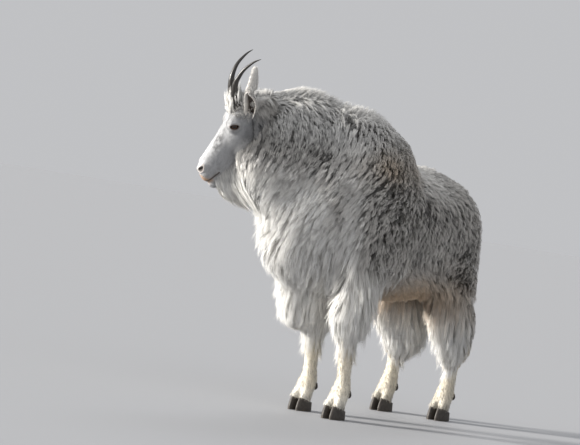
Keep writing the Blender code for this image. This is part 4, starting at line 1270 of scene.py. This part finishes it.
def put(kind, pts, nor, width, col, root_uv, part, r, roll=.9, facing=.65, profile=None):
    """Blade ribbons from centre lines. Colours are one per point of the line."""
    n, m, _ = pts.shape
    K = m - 1
    T = np.empty_like(pts)
    T[:, 0] = pts[:, 1] - pts[:, 0]
    T[:, 1:] = pts[:, 1:] - pts[:, :-1]
    T = norm(T)
    S = norm(np.cross(nor, T))
    ro = (r.random(n) * 2 - 1) * roll
    W = norm(S * np.cos(ro)[:, None, None] + nor * np.sin(ro)[:, None, None])
    prof = np.linspace(1, .45, K) if profile is None else np.asarray(profile)
    half = .5 * width[:, None] * prof[None]
    left = pts[:, :K] - W[:, :K] * half[..., None]
    rite = pts[:, :K] + W[:, :K] * half[..., None]
    V = np.empty((n, 2 * K + 1, 3))
    V[:, 0:2 * K:2], V[:, 1:2 * K:2], V[:, -1] = left, rite, pts[:, K]
    own = norm(np.cross(W, T))
    own = own * np.sign((own * nor).sum(-1, keepdims=True) + 1e-9)
    sn = norm(nor * facing + own * (1 - facing))
    NN = np.empty_like(V)
    NN[:, 0:2 * K:2], NN[:, 1:2 * K:2], NN[:, -1] = sn[:, :K], sn[:, :K], sn[:, K]
    CC = np.empty_like(V)
    CC[:, 0:2 * K:2], CC[:, 1:2 * K:2], CC[:, -1] = col[:, :K], col[:, :K], col[:, K]
    y = (np.arange(K + 1) / K - .5) * .0029
    UO = np.zeros((2 * K + 1, 2))
    UO[0:2 * K:2, 0], UO[1:2 * K:2, 0] = -.00145, .00145
    UO[0:2 * K:2, 1], UO[1:2 * K:2, 1], UO[-1, 1] = y[:K], y[:K], y[K]
    # the blade's front looks outwards: left, right, next right, next left has its normal along W x T
    flip = (np.cross(W[:, 0], T[:, 0]) * nor[:, 0]).sum(1) < 0
    V[flip] = V[flip][:, swap_sides(K)]
    NN[flip] = NN[flip][:, swap_sides(K)]
    CC[flip] = CC[flip][:, swap_sides(K)]
    TUFTS[kind].append(dict(K=K, V=V.astype(np.float32), N=NN.astype(np.float32), C=CC.astype(np.float32), UO=UO, root=root_uv, part=part))


def swap_sides(K):
    k = np.arange(2 * K + 1)
    k[0:2 * K:2], k[1:2 * K:2] = np.arange(1, 2 * K, 2), np.arange(0, 2 * K, 2)
    return k


def blade_faces(K):
    loops, starts, c = [], [], 0
    for i in range(K - 1):
        starts.append(c)
        loops += [2 * i, 2 * i + 1, 2 * i + 3, 2 * i + 2]
        c += 4
    starts.append(c)
    loops += [2 * K - 2, 2 * K - 1, 2 * K]
    return np.array(loops), np.array(starts), c + 3


def shade(col_root, n, m, x, dark, tip=1.0, jitter=None):
    """Colour along each blade, from the shaded root to the tip."""
    k = dark + (1 - dark) * sstep(x, .0, .55)
    k = k * (1 + (tip - 1) * sstep(x, .6, 1.0))
    c = col_root[:, None, :] * k[..., None]
    if jitter is not None:
        c = c * jitter[:, None, None]
    return np.clip(c, 0, 1)


def set_down(kind, P, N, part, guide_flow, L, rise, lim, nb, K, spread, clump, width, dark, seed, steps=9, hang=None, over=None, short=.35,
             thick=.35, wave=0.0, groove=0.0, tip_lim=.003, tint=None, stray=.06, roll=.9, facing=.65, tipc=1.0, flare=0.0, vary=.09):
    r0 = np.random.default_rng(seed + 1000)
    pts, nrm, out_len = grow(P, N, L, steps, rise, guide_flow, lim, hang, flare=flare)
    if over is not None:
        share = np.clip((out_len + over) / L, .15, 1.0)
        pts, nrm = trimmed(pts, nrm, share)
    out, nor, g, x, S, r = children(pts, nrm, nb, K, spread, clump, seed, short, thick, wave, stray)
    base = coat_colour(P, part, N) if tint is None else tint
    n, m = len(out), K + 1
    lock = 1 + vary * r0.standard_normal(len(P))
    jit = (lock[g] * (1 + .10 * r.standard_normal(n))).clip(.7, 1.28)
    col = shade(base[g], n, m, x, dark, tipc, jit)
    hair_lim = np.full(n, tip_lim)
    if groove:
        mid_ = out[:, m // 2]
        s, gr = CG(mid_)
        F = along(guide_flow(mid_, gr), gr)
        gw = np.broadcast_to(np.asarray(groove_weight(P, part)), (len(P),))[g]
        h = np.zeros(n)
        lg = groove_long(P)[g]
        for want_long, sc, sd in ((True, .0090, 31), (False, .0080, 47)):
            mm = np.flatnonzero(lg == want_long)
            if len(mm):
                v = ridges(mid_[mm], F[mm], 5 if want_long else 2, sc, sd)
                v = (v - .5) / v.std()
                h[mm] = sstep(v, -.85, -.15)
        gap = (1 - h) * gw
        x1 = np.clip(x * 2.2, 0, 1)
        out = out - nor * (groove * gap[:, None] * x1)[..., None]
        # painted shade in the gaps between locks, and a painted highlight on the locks' ridges
        col = col * (1 - .74 * gap[:, None] * (.35 + .65 * x1))[..., None] * (1 + .18 * (gw * h)[:, None, None])
    out = keep_inside(out, nor, hair_lim)
    ruv = part_uv(out[:, 0], part[g])
    put(kind, out, nor, width * (.75 + .5 * r.random(n)), col, ruv, part[g], r, roll, facing)


def groove_weight(P, part):
    f, z = -P[:, 1], P[:, 2]
    w = .35 + .65 * sstep(noise(P, .05, 12), .25, .6)
    shoulder = np.exp(-(((f - .24) / .16) ** 2 + ((z - .72) / .12) ** 2))
    w = np.maximum(w, shoulder)
    w = w * (1 - .70 * sstep(z, .79, .85) * (f > .0))
    belly = sstep(z, .47, .43)
    return w * (1 - .75 * belly)


def groove_long(P):
    f, z = -P[:, 1], P[:, 2]
    return (((f - .24) / .19) ** 2 + ((z - .70) / .16) ** 2 + .5 * (noise(P, .05, 13) - .5) < 1) | (noise(P, .07, 14) > .56)


CG = Grid(coat_field, (-.36, -.69, -.02), (.22, .51, 1.03), .0075, .075)
KG = Grid(skin_field, (-.36, -.69, -.02), (.22, .51, 1.03), .0075, .045)

face_mid = skin_v[skin_q].mean(1)
face_n = norm(skin_n[skin_q].sum(1))
face_part = skin_part[skin_q[:, 0]]
head_s, head_t, head_w = head_of(face_mid)
is_head = face_part == 3
depth_face = -CG(face_mid)[0]
long_w = long_hair(face_mid, face_part, face_n)
body = (~is_head) & (face_part != 12) & (depth_face > .009)
crest_w = sstep(face_n[:, 2], .74, .94) * (np.isin(face_part, (0, 1)) | (is_head & (head_s < .0) & (head_t < -.06)))
pick_rng = np.random.default_rng(5)
toss = pick_rng.random(len(face_mid))

# wool over the trunk, the neck and the upper legs
P, N, part, cell = sample(body & (long_w < .65), 10500, 11)
wl, cw = long_hair(P, part, N), sstep(N[:, 2], .82, .96) * np.isin(part, (0, 1))
keep = (pick_rng.random(len(P)) > (wl - .2) / .5) & (pick_rng.random(len(P)) > cw * 1.2 * sstep(-P[:, 1], -.16, .0))
P, N, part = P[keep], N[keep], part[keep]
d0 = -CG(P)[0]
L = np.clip(d0 * 1.05 + .026, .034, .085) * (.9 + .2 * pick_rng.random(len(P)))
set_down("wool", P, N, part, flow_at, L, .55, .0035 * pick_rng.random(len(P)) ** 2, 11, 4, cell * .66, .45, .0026, .60, 21, groove=.010, wave=.0012, short=.30,
         vary=.07, facing=.72, tip_lim=.007)

# long straight hair on the throat, chest, brisket and legs
P, N, part, cell = sample(body & (long_w > .12), 3300, 12)
wl = long_hair(P, part, N)
keep = pick_rng.random(len(P)) < (wl - .1) / .35
P, N, part, wl = P[keep], N[keep], part[keep], wl[keep]
d0 = -CG(P)[0]
f_, z_ = -P[:, 1], P[:, 2]
L = np.clip(d0 * 1.0 + .060 + .045 * pick_rng.random(len(P)), .06, .150) * (.75 + .25 * sstep(wl, .3, .9))
L = np.where(z_ < .33, L * (.8 + .25 * (f_ > .10)), L) + .030 * np.exp(-((z_ - .39) / .055) ** 2) * (f_ > .10) * np.isin(part, (2, 4, 5))


def hang_flow(P, g):
    F = flow_at(P, g)
    f, z = -P[:, 1], P[:, 2]
    chest_ = sstep(f, .24, .34) * sstep(z, .46, .52)
    F = F + g * (.45 * chest_)[:, None]
    F = F + np.stack([np.zeros(len(P)), np.zeros(len(P)), -.7 * sstep(z, .56, .46)], 1)
    return norm(F)


over = .004 + .026 * pick_rng.random(len(P)) ** 1.5
chest_ = sstep(f_, .22, .32) * sstep(z_, .44, .50)
lim_ = .001 + .006 * (pick_rng.random(len(P)) ** 2) * sstep(wl, .4, .9)
flare_ = (.005 + .010 * pick_rng.random(len(P)) + (.024 * chest_ + .016 * sstep(z_, .48, .42)) * pick_rng.random(len(P))) * sstep(wl, .3, .8)
over = over + .050 * sstep(z_, .47, .37) * (f_ > .10) * pick_rng.random(len(P)) ** 1.3 + .034 * np.isin(part, (6, 7)) * sstep(z_, .44, .38) * pick_rng.random(len(P))
flare_ = flare_ + .012 * np.isin(part, (6, 7)) * sstep(z_, .46, .40) * pick_rng.random(len(P))
flare_ = flare_ + .046 * np.exp(-((z_ - .385) / .055) ** 2) * (f_ > .10) * np.isin(part, (2, 4, 5)) * pick_rng.random(len(P)) ** 1.3
over = over + .030 * sstep(f_, .20, .30) * np.exp(-((z_ - .47) / .045) ** 2) * pick_rng.random(len(P))
set_down("long_hair", P, N, part, hang_flow, L, .5, lim_, 20, 4, cell * .66, .66, .0020, .92, 22, steps=14, hang=np.full(len(P), .6), over=over,
         short=.40, thick=.5, wave=.0014, tip_lim=.034, stray=.14, flare=flare_, vary=.04, facing=.88)

# the tips that hang below the long hair of the legs and the brisket
P, N, part, cell = sample(body & np.isin(face_part, (2, 4, 5, 6, 7)) & (face_n[:, 2] < -.12) & (face_mid[:, 2] < .43) & (face_mid[:, 2] > .20), 460, 16)
L = .060 + .045 * pick_rng.random(len(P))
set_down("long_hair", P, N, part, lambda p, g: norm(np.tile([0, .10, -1.0], (len(p), 1)) + g * .1), L, .6, .002 + .004 * pick_rng.random(len(P)), 14, 4, cell * .7, .82, .0021, .84, 26,
         steps=12, hang=np.full(len(P), .85), over=.008 + .040 * pick_rng.random(len(P)) ** 1.4, short=.35, thick=.4, tip_lim=.046, stray=.12, vary=.04, facing=.85)

# the fringe under the belly
P, N, part, cell = sample(body & (face_part == 0) & (face_n[:, 2] < -.30) & (face_mid[:, 2] < .47) & (long_w < .6), 520, 15)
L = .040 + .030 * pick_rng.random(len(P))
set_down("wool", P, N, part, lambda p, g: norm(np.tile([0, .45, -1.0], (len(p), 1)) + g * .2), L, .6, .003 + .006 * pick_rng.random(len(P)), 12, 4, cell * .7, .75, .0023, .60, 25,
         steps=10, hang=np.full(len(P), .6), over=.006 + .016 * pick_rng.random(len(P)), short=.35, tip_lim=.022)

# the crest along the neck and the back
P, N, part, cell = sample((body | is_head) & (depth_face > .006) & (crest_w > .05) & (face_mid[:, 2] > .6), 2700, 13)
cw = sstep(N[:, 2], .74, .94)
keep = (pick_rng.random(len(P)) < cw * 1.3) & (pick_rng.random(len(P)) < .30 + .70 * sstep(-P[:, 1], -.16, .0))
P, N, part = P[keep], N[keep], part[keep]
f_ = -P[:, 1]
d0 = -CG(P)[0]


def crest_flow(P, g):
    f = -P[:, 1]
    return norm(g * (.25 + .75 * sstep(f, -.12, .08))[:, None] + np.stack([np.zeros(len(P)), .55 - .25 * sstep(f, .3, .45), np.zeros(len(P))], 1))


L = (1 - .20 * (f_ > .43) * pick_rng.random(len(P))) * np.clip(d0 * (.98 + .24 * pick_rng.random(len(P))) + .004 + .012 * np.exp(-((f_ - .37) / .07) ** 2), .022, .085)
set_down("crest", P, N, part, crest_flow, L, .95, .001 + .005 * pick_rng.random(len(P)) ** 2, 12, 3, cell * .75, .66, .0022, .70, 23, steps=8,
         hang=sstep(f_, -.12, .08), short=.30, thick=.2, tip_lim=.014, stray=.12, facing=.6, vary=.05, tipc=1.06)

# the tail
P, N, part, cell = sample(face_part == 12, 260, 14)
L = .030 + .030 * pick_rng.random(len(P))
set_down("long_hair", P, N, part, lambda p, g: norm(np.tile([0, .35, -1.0], (len(p), 1))), L, .6, np.full(len(P), .002), 16, 4, cell * .7, .6, .0023, .5, 24,
         steps=8, hang=np.full(len(P), .3), over=.004 + .018 * pick_rng.random(len(P)), tip_lim=.008)

# ---------------------------------------------------------------- head
def head_flow(P, g):
    """From the nose to the poll, turning down over the cheeks."""
    s, t, w = head_of(P)
    F = np.tile(-HS, (len(P), 1))
    cheek = sstep(t, -.055, -.105)
    F = F - HT * (.75 * cheek)[:, None]
    F = F + HW * (np.sign(w) * .25 * sstep(s, .20, .10))[:, None]
    # round the eye
    for side in (1, -1):
        a, b, w1 = eye_coords(s, t, w, side)
        k = np.exp(-((a + .004) ** 2 + b ** 2) / .018 ** 2) * (w1 > .03)
        F = F + (HS * EYE_SHORT[0] + HT * EYE_SHORT[1])[None] * (np.sign(b) * 1.1 * k)[:, None]
    # lips: down and back
    lipw = sstep(s, .225, .245) * sstep(t, -.015, -.03)
    F = F + (-HT * .9 + HW * np.sign(w)[:, None] * .3) * lipw[:, None]
    return norm(F)


JAW = ((.0, .0316, .06, .0988, .1233, .1429, .1612, .191, .2147, .262), (-.078, -.0935, -.1075, -.117, -.1195, -.109, -.1012, -.0889, -.0803, -.064))


def jaw(s):
    """Where the short fur of the cheek ends and the beard begins."""
    return np.interp(s, *JAW)


def clear_of(s, t, w):
    """How near the hair may reach to an eye, a nostril or the mouth."""
    room = np.full(len(s), .05)
    for side in (1, -1):
        near = w * side > .03
        room = np.where(near, np.minimum(room, opening(s, t, w, side) * .85 - .0003), room)
        near = (w * side > -.002) & (s > .20)
        room = np.where(near, np.minimum(room, nostril(s, t, w, side) * .85 - .0004), room)
    m = (s > MOUTH[0] - .012) & (t > -.10)
    dm = np.sqrt(mouth_line(s, t) ** 2 + np.clip(MOUTH[0] - s, 0, None) ** 2)
    return np.where(m, np.minimum(room, dm * .8 - .0006), room)


def lay_short(kind, P, N, part, F, L, width, K, seed, lift=.0012, dark=.62, tint=None, bend=.0008, roll=.6, facing=.7, tipc=1.05, vary=.07):
    r = np.random.default_rng(seed)
    n = len(P)
    g = along(F + .22 * r.standard_normal((n, 3)), N)
    x = np.linspace(0, 1, K + 1)
    h = lift * np.sin(np.minimum(x * 1.9, 1.6)) - bend * x * x
    pts = P[:, None] - N[:, None] * .0009 + g[:, None] * (x[None, :, None] * L[:, None, None]) + N[:, None] * ((h + .0009 * np.minimum(1, x * 4))[None, :, None] * (.6 + .8 * r.random((n, 1, 1))))
    base = coat_colour(P, part, N) if tint is None else tint
    jit = (1 + vary * r.standard_normal(n)).clip(.7, 1.25)
    col = shade(base, n, K + 1, np.tile(x, (n, 1)), dark, tipc, jit)
    put(kind, pts, np.repeat(N[:, None], K + 1, 1), width * (.7 + .6 * r.random(n)), col, part_uv(P, part), part, r, roll, facing)


P, N, part, cell = sample(is_head & (head_s > -.06), 27000, 31)
s, t, w = head_of(P)
room = clear_of(s, t, w)
L = .0062 + .0045 * sstep(s, .20, .05) + .006 * sstep(t, -.105, -.14) + .008 * sstep(s, .03, -.02)
L = L * (.8 + .4 * pick_rng.random(len(P)))
L = np.minimum(L, room)
keep = L > .0012
P, N, part, L = P[keep], N[keep], part[keep], L[keep]
lay_short("face", P, N, part, head_flow(P, N), L, .0014, 2, 32, dark=.50, vary=.11, facing=.62)


def hanging(P, N, part, F, L, nb, K, spread, clump, width, seed, kind="long_hair", dark=.6, tint=None, over=None, short=.45, wave=.001, lim=.002, tip_lim=.012, hang=.75, tipc=1.0, stray=.10):
    flow = F if callable(F) else (lambda p, g: norm(np.broadcast_to(np.asarray(F, float), p.shape)))
    set_down(kind, P, N, part, flow, L, .7, np.full(len(P), lim), nb, K, spread, clump, width, dark, seed, steps=12, hang=np.full(len(P), hang), over=over,
             short=short, wave=wave, tip_lim=tip_lim, tint=tint, tipc=tipc, stray=stray)


# the beard under the jaw and chin
white = np.array([.86, .85, .825])
P, N, part, cell = sample(is_head & (head_s > .105) & (head_s < .246) & (head_t < jaw(head_s)), 400, 33)
s, t, w = head_of(P)
# the back of the beard, towards the throat, is painted darker, painted shade
tint = np.tile(white, (len(P), 1)) * ((1 - .12 * noise(P, .02, 40)) * (1 - .34 * sstep(s, .170, .115)))[:, None]
beard_flow = lambda p, g: norm(np.tile([.26, .17, -1.0], (len(p), 1)) + HW[None] * (np.clip(head_of(p)[2] / .08, -.5, .5) * .35)[:, None] - HS[None] * (.30 * sstep(head_of(p)[0], .16, .06))[:, None])
L = np.full(len(P), .185)
hanging(P, N, part, beard_flow, L, 17, 4, cell * .8, .60 + .28 * sstep(s, .12, .17), .0021, 34, over=(.004 + .046 * sstep(s, .235, .165)) * (.20 + 1.05 * pick_rng.random(len(P))), tint=tint, short=.14, dark=.82, hang=.9, tip_lim=.034, lim=.008)

# the bright tufts along the edge of the jaw, over the ruff
P, N, part, cell = sample(is_head & (head_s > .11) & (head_s < .235) & (np.abs(head_t - jaw(head_s) + .006) < .009), 120, 35)
L = .020 + .014 * pick_rng.random(len(P))
hanging(P, N, part, beard_flow, L, 16, 3, cell * .5, .85, .0019, 36, tint=np.tile([.86, .85, .83], (len(P), 1)), hang=.4, lim=.004)

# the ruff behind the cheek and below the ear, and the poll
P, N, part, cell = sample(is_head & (head_s < .115) & (head_t < np.where(head_s < 0, -.078 + .5 * head_s, jaw(head_s))), 420, 37)
ruff_flow = lambda p, g: norm(np.tile(-HS * .1 - HT * .55, (len(p), 1)) + np.array([0, 0, -1.0]))
L = .022 + .020 * pick_rng.random(len(P))
hanging(P, N, part, ruff_flow, L, 15, 3, cell * .7, .6, .0021, 38, kind="wool", dark=.50, hang=.3, wave=.0015)

# between and behind the horns, up and back
P, N, part, cell = sample(is_head & (head_s < .030) & (head_t > -.075) & (np.abs(head_w) < .052), 230, 39)
s, t, w = head_of(P)
poll_flow = lambda p, g: norm(np.tile(-HS * .55 + HT * .55, (len(p), 1)) + g * .5 + HW[None] * (np.clip(head_of(p)[2] / .05, -1, 1) * .35)[:, None])
L = (.020 + .016 * pick_rng.random(len(P))) * (1 - .45 * sstep(s, .0, .028)) * (1 - .40 * sstep(np.abs(w), .026, .040))
hanging(P, N, part, poll_flow, L, 15, 3, cell * .6, .6, .0018, 40, kind="crest", tint=np.tile([.80, .785, .76], (len(P), 1)), hang=1.0, tip_lim=.03, lim=.02)

# the tuft in front of the horns
P, N, part, cell = sample(is_head & (head_s > -.020) & (head_s < .036) & (head_t > -.035) & (np.abs(head_w) < .030), 120, 41)
tuft_flow = lambda p, g: norm(np.tile(-HS * .90 + HT * .42, (len(p), 1)) + HW[None] * (np.clip(head_of(p)[2] / .05, -1, 1) * .25)[:, None])
L = .040 + .030 * pick_rng.random(len(P))
hanging(P, N, part, tuft_flow, L, 14, 3, cell * .6, .82, .0016, 42, kind="crest", tint=np.tile([.82, .81, .79], (len(P), 1)), hang=1.0, tip_lim=.035, lim=.03)


# ---------------------------------------------------------------- ears
def ear_hair(side, seed):
    r = np.random.default_rng(seed)
    front, backs, face, wide, L_, half = ear_surface(side, 40, 21)
    nu, nv, _ = front.shape

    def at(sheet, u, v):
        x, y = u * (nu - 1), (v + 1) / 2 * (nv - 1)
        i, j = np.minimum(x.astype(int), nu - 2), np.minimum(y.astype(int), nv - 2)
        a, b = (x - i)[:, None], (y - j)[:, None]
        q = sheet[i, j] * (1 - a) * (1 - b) + sheet[i + 1, j] * a * (1 - b) + sheet[i, j + 1] * (1 - a) * b + sheet[i + 1, j + 1] * a * b
        du = norm(sheet[i + 1, j] - sheet[i, j])
        dv = norm(sheet[i, j + 1] - sheet[i, j])
        n_ = norm(np.cross(du, dv))
        return q, du, n_ * np.sign((n_ @ face))[:, None]

    def lay(u, v, sheet, out_sign, direction, L, width, tint, K=3, lift=.002, dark=.7, sd=0):
        P, du, n_ = at(sheet, u, v)
        n_ = n_ * out_sign
        F = norm(direction(u, v, du, n_) + .12 * r.standard_normal((len(u), 3)))
        x = np.linspace(0, 1, K + 1)
        pts = P[:, None] - n_[:, None] * .0008 + F[:, None] * (x[None, :, None] * L[:, None, None]) + n_[:, None] * (lift * np.sin(x * 2.2))[None, :, None]
        jit = (1 + .07 * r.standard_normal(len(u))).clip(.8, 1.2)
        col = shade(np.tile(tint, (len(u), 1)), len(u), K + 1, np.tile(x, (len(u), 1)), dark, 1.05, jit)
        uv = np.stack([(v + 1) * .25 + (0 if out_sign > 0 else .5), u], 1)
        uv[:, 0] = uv[:, 0] * .5 + (.5 if side < 0 else 0)
        put("ears", pts, np.repeat(n_[:, None], K + 1, 1), width * (.7 + .6 * r.random(len(u))), col, uv, np.full(len(u), 20), r, .5, .7)

    pale = np.array([.74, .725, .70])
    n = 1500
    u, v = r.random(n) ** .9 * .98, r.random(n) * 2 - 1
    lay(u, v, backs, -1, lambda u, v, du, n_: du + wide * (.25 * v)[:, None], (.008 + .006 * r.random(n)) * (1.1 - .4 * u), .0017, pale)
    n = 700
    u, v = r.random(n) * .97, np.sign(r.random(n) - .5) * (.90 + .10 * r.random(n))
    lay(u, v, front, 1, lambda u, v, du, n_: du * .9 + wide * (.35 * np.sign(v))[:, None] + n_ * .25, (.006 + .005 * r.random(n)), .0015, pale * 1.08)
    # a few hairs inside the cup, tinted greyer as painted shade
    n = 50
    u, v = r.random(n) * .85, np.sign(r.random(n) - .5) * (.66 + .22 * r.random(n))
    lay(u, v, front, 1, lambda u, v, du, n_: du * .9 - wide * (.10 * np.sign(v))[:, None] + n_ * .3, (.008 + .007 * r.random(n)), .0011, np.array([.50, .46, .42]))
    n = 420
    u, v = r.random(n) * .30, r.random(n) * 2 - 1
    lay(u, v, backs, -1, lambda u, v, du, n_: du + wide * (.25 * v)[:, None], (.012 + .010 * r.random(n)), .0020, pale)


for side, sd in ((1, 51), (-1, 52)):
    ear_hair(side, sd)

# ---------------------------------------------------------------- lower legs
shank = (face_part >= 8) & (face_part <= 11) & (depth_face < .0105) | ((face_part >= 4) & (depth_face < .0092) & (face_part <= 7))
P, N, part, cell = sample(shank & (face_mid[:, 2] > .030), 11000, 61)
down = np.tile([0, 0, -1.0], (len(P), 1))
z = P[:, 2]
L = (.009 + .006 * sstep(z, .15, .28) + .003 * sstep(z, .07, .04)) * (.8 + .4 * pick_rng.random(len(P)))
L = np.minimum(L, np.clip(z - .026, .003, 1))
lay_short("legs", P, N, part, down, L, .0022, 3, 62, lift=.0034, dark=.46, vary=.13, roll=.8, facing=.5)

# ---------------------------------------------------------------- the coat pieces
def hair_material(name, rough, sheen, through):
    m = material(name, rough, sheen=sheen, spec=.3)
    nt = m.node_tree
    b, out = nt.nodes["Principled BSDF"], nt.nodes["Material Output"]
    tr = nt.nodes.new("ShaderNodeBsdfTranslucent")
    mix = nt.nodes.new("ShaderNodeMixShader")
    mix.inputs["Fac"].default_value = through
    a = [n for n in nt.nodes if n.type == "VERTEX_COLOR"][0]
    nt.links.new(a.outputs["Color"], tr.inputs["Color"])
    nt.links.new(b.outputs["BSDF"], mix.inputs[1])
    nt.links.new(tr.outputs["BSDF"], mix.inputs[2])
    nt.links.new(mix.outputs["Shader"], out.inputs["Surface"])
    return m


MATS = {"wool": hair_material("wool", .75, .25, .22), "long_hair": hair_material("long_hair", .55, .2, .42), "crest": hair_material("crest_hair", .6, .25, .32),
        "face": hair_material("face_hair", .6, .2, .18), "legs": hair_material("leg_hair", .6, .2, .18), "ears": hair_material("ear_hair", .6, .2, .25)}
MOST = 190000


def write_piece(name, mat, sets):
    """One mesh from several sets of blades, with each part's chart in its own cell of the map."""
    parts_in = sorted(set(np.concatenate([s["part"] for s in sets]).tolist()))
    counts = np.array([sum((s["part"] == p).sum() for s in sets) for p in parts_in], float)
    share = np.sqrt(counts) + .15 * np.sqrt(counts).max()
    share /= share.sum()
    left = np.concatenate([[0], np.cumsum(share)])
    Vs, Ns, Cs, UVs, LL, SS = [], [], [], [], [], []
    vo = lo = 0
    box = {p: (np.min([s["root"][s["part"] == p].min(0) for s in sets if (s["part"] == p).any()], 0),
               np.max([s["root"][s["part"] == p].max(0) for s in sets if (s["part"] == p).any()], 0)) for p in parts_in}
    for s in sets:
        n, k = s["V"].shape[:2]
        K = s["K"]
        uv = np.empty((n, 2))
        for i, p in enumerate(parts_in):
            m = s["part"] == p
            if not m.any():
                continue
            a, b = box[p]
            q = (s["root"][m] - a) / np.maximum(b - a, 1e-4)
            x0, x1 = left[i] * .996 + .002, left[i + 1] * .996 + .002
            uv[m, 0] = x0 + .0035 + q[:, 0] * (x1 - x0 - .007)
            uv[m, 1] = .006 + q[:, 1] * .988
        UVs.append((uv[:, None] + s["UO"][None]).reshape(-1, 2))
        Vs.append(s["V"].reshape(-1, 3))
        Ns.append(s["N"].reshape(-1, 3))
        Cs.append(s["C"].reshape(-1, 3))
        loops, starts, c = blade_faces(K)
        LL.append((vo + np.arange(n)[:, None] * k + loops[None]).ravel())
        SS.append((lo + np.arange(n)[:, None] * c + starts[None]).ravel())
        vo += n * k
        lo += n * c
    ob = make_mesh(name, np.concatenate(Vs), np.concatenate(LL), np.concatenate(SS), colour=np.concatenate(Cs), uv=np.clip(np.concatenate(UVs), 0, 1), normals=np.concatenate(Ns))
    ob.data.materials.append(mat)
    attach(ob, "root")
    return ob


tri_total = 0
for kind, sets in TUFTS.items():
    tris = np.concatenate([np.full(len(s["V"]), 2 * s["K"] - 1) for s in sets])
    part = np.concatenate([s["part"] for s in sets])
    root = np.concatenate([s["root"] for s in sets])
    total = int(tris.sum())
    tri_total += total
    pieces = max(1, math.ceil(total / MOST))
    order = np.lexsort((root[:, 0], part))
    cum = np.cumsum(tris[order])
    which = np.empty(len(order), int)
    which[order] = np.minimum((cum - 1) * pieces // total, pieces - 1)
    start = np.concatenate([[0], np.cumsum([len(s["V"]) for s in sets])])
    for i in range(pieces):
        some = []
        for j, s in enumerate(sets):
            m = which[start[j]:start[j + 1]] == i
            if m.any():
                some.append({k: (v[m] if k in ("V", "N", "C", "root", "part") else v) for k, v in s.items()})
        write_piece(f"{kind}_{i + 1}", MATS[kind], some)
print("tufts, triangles:", tri_total)

# ---------------------------------------------------------------- floor, backdrop and light
def plain(name, colour, rough):
    m = bpy.data.materials.new(name)
    m.use_nodes = True
    b = m.node_tree.nodes["Principled BSDF"]
    b.inputs["Base Color"].default_value = (*colour, 1)
    b.inputs["Roughness"].default_value = rough
    b.inputs["Specular IOR Level"].default_value = .2
    return m


bpy.ops.mesh.primitive_plane_add(size=30.0, location=(0, 0, 0))
floor = bpy.context.object
floor.name = "floor"
floor.data.materials.append(plain("floor", (.337, .341, .354), .9))

world = bpy.data.worlds.new("world")
world.use_nodes = True
world.node_tree.nodes["Background"].inputs["Color"].default_value = (.530, .535, .550, 1)
world.node_tree.nodes["Background"].inputs["Strength"].default_value = 1.0
bpy.context.scene.world = world


def sun(name, towards, wide, power, colour):
    d = bpy.data.lights.new(name, "SUN")
    d.angle, d.energy, d.color = math.radians(wide), power, colour
    o = bpy.data.objects.new(name, d)
    z = unit(towards)
    x = unit(np.cross((0, 0, 1), z))
    y = np.cross(z, x)
    at = z * 4.0
    o.matrix_world = Matrix(((x[0], y[0], z[0], at[0]), (x[1], y[1], z[1], at[1]), (x[2], y[2], z[2], at[2]), (0, 0, 0, 1)))
    bpy.context.scene.collection.objects.link(o)
    return o


sun("key", -right0 * .97 + back * .12 + np.array([0, 0, .26]), 12, 8.6, (1.0, .97, .92))
sun("rim", right0 * .2 - back * 2.4 + np.array([0, 0, 2.0]), 25, .7, (.93, .96, 1.0))
sun("fill", right0 * 1.2 + back * 3.0 + np.array([0, 0, 2.0]), 40, .35, (.94, .97, 1.0))
bpy.context.scene.view_settings.view_transform = "Standard"
bpy.context.scene.view_settings.exposure = 0.0
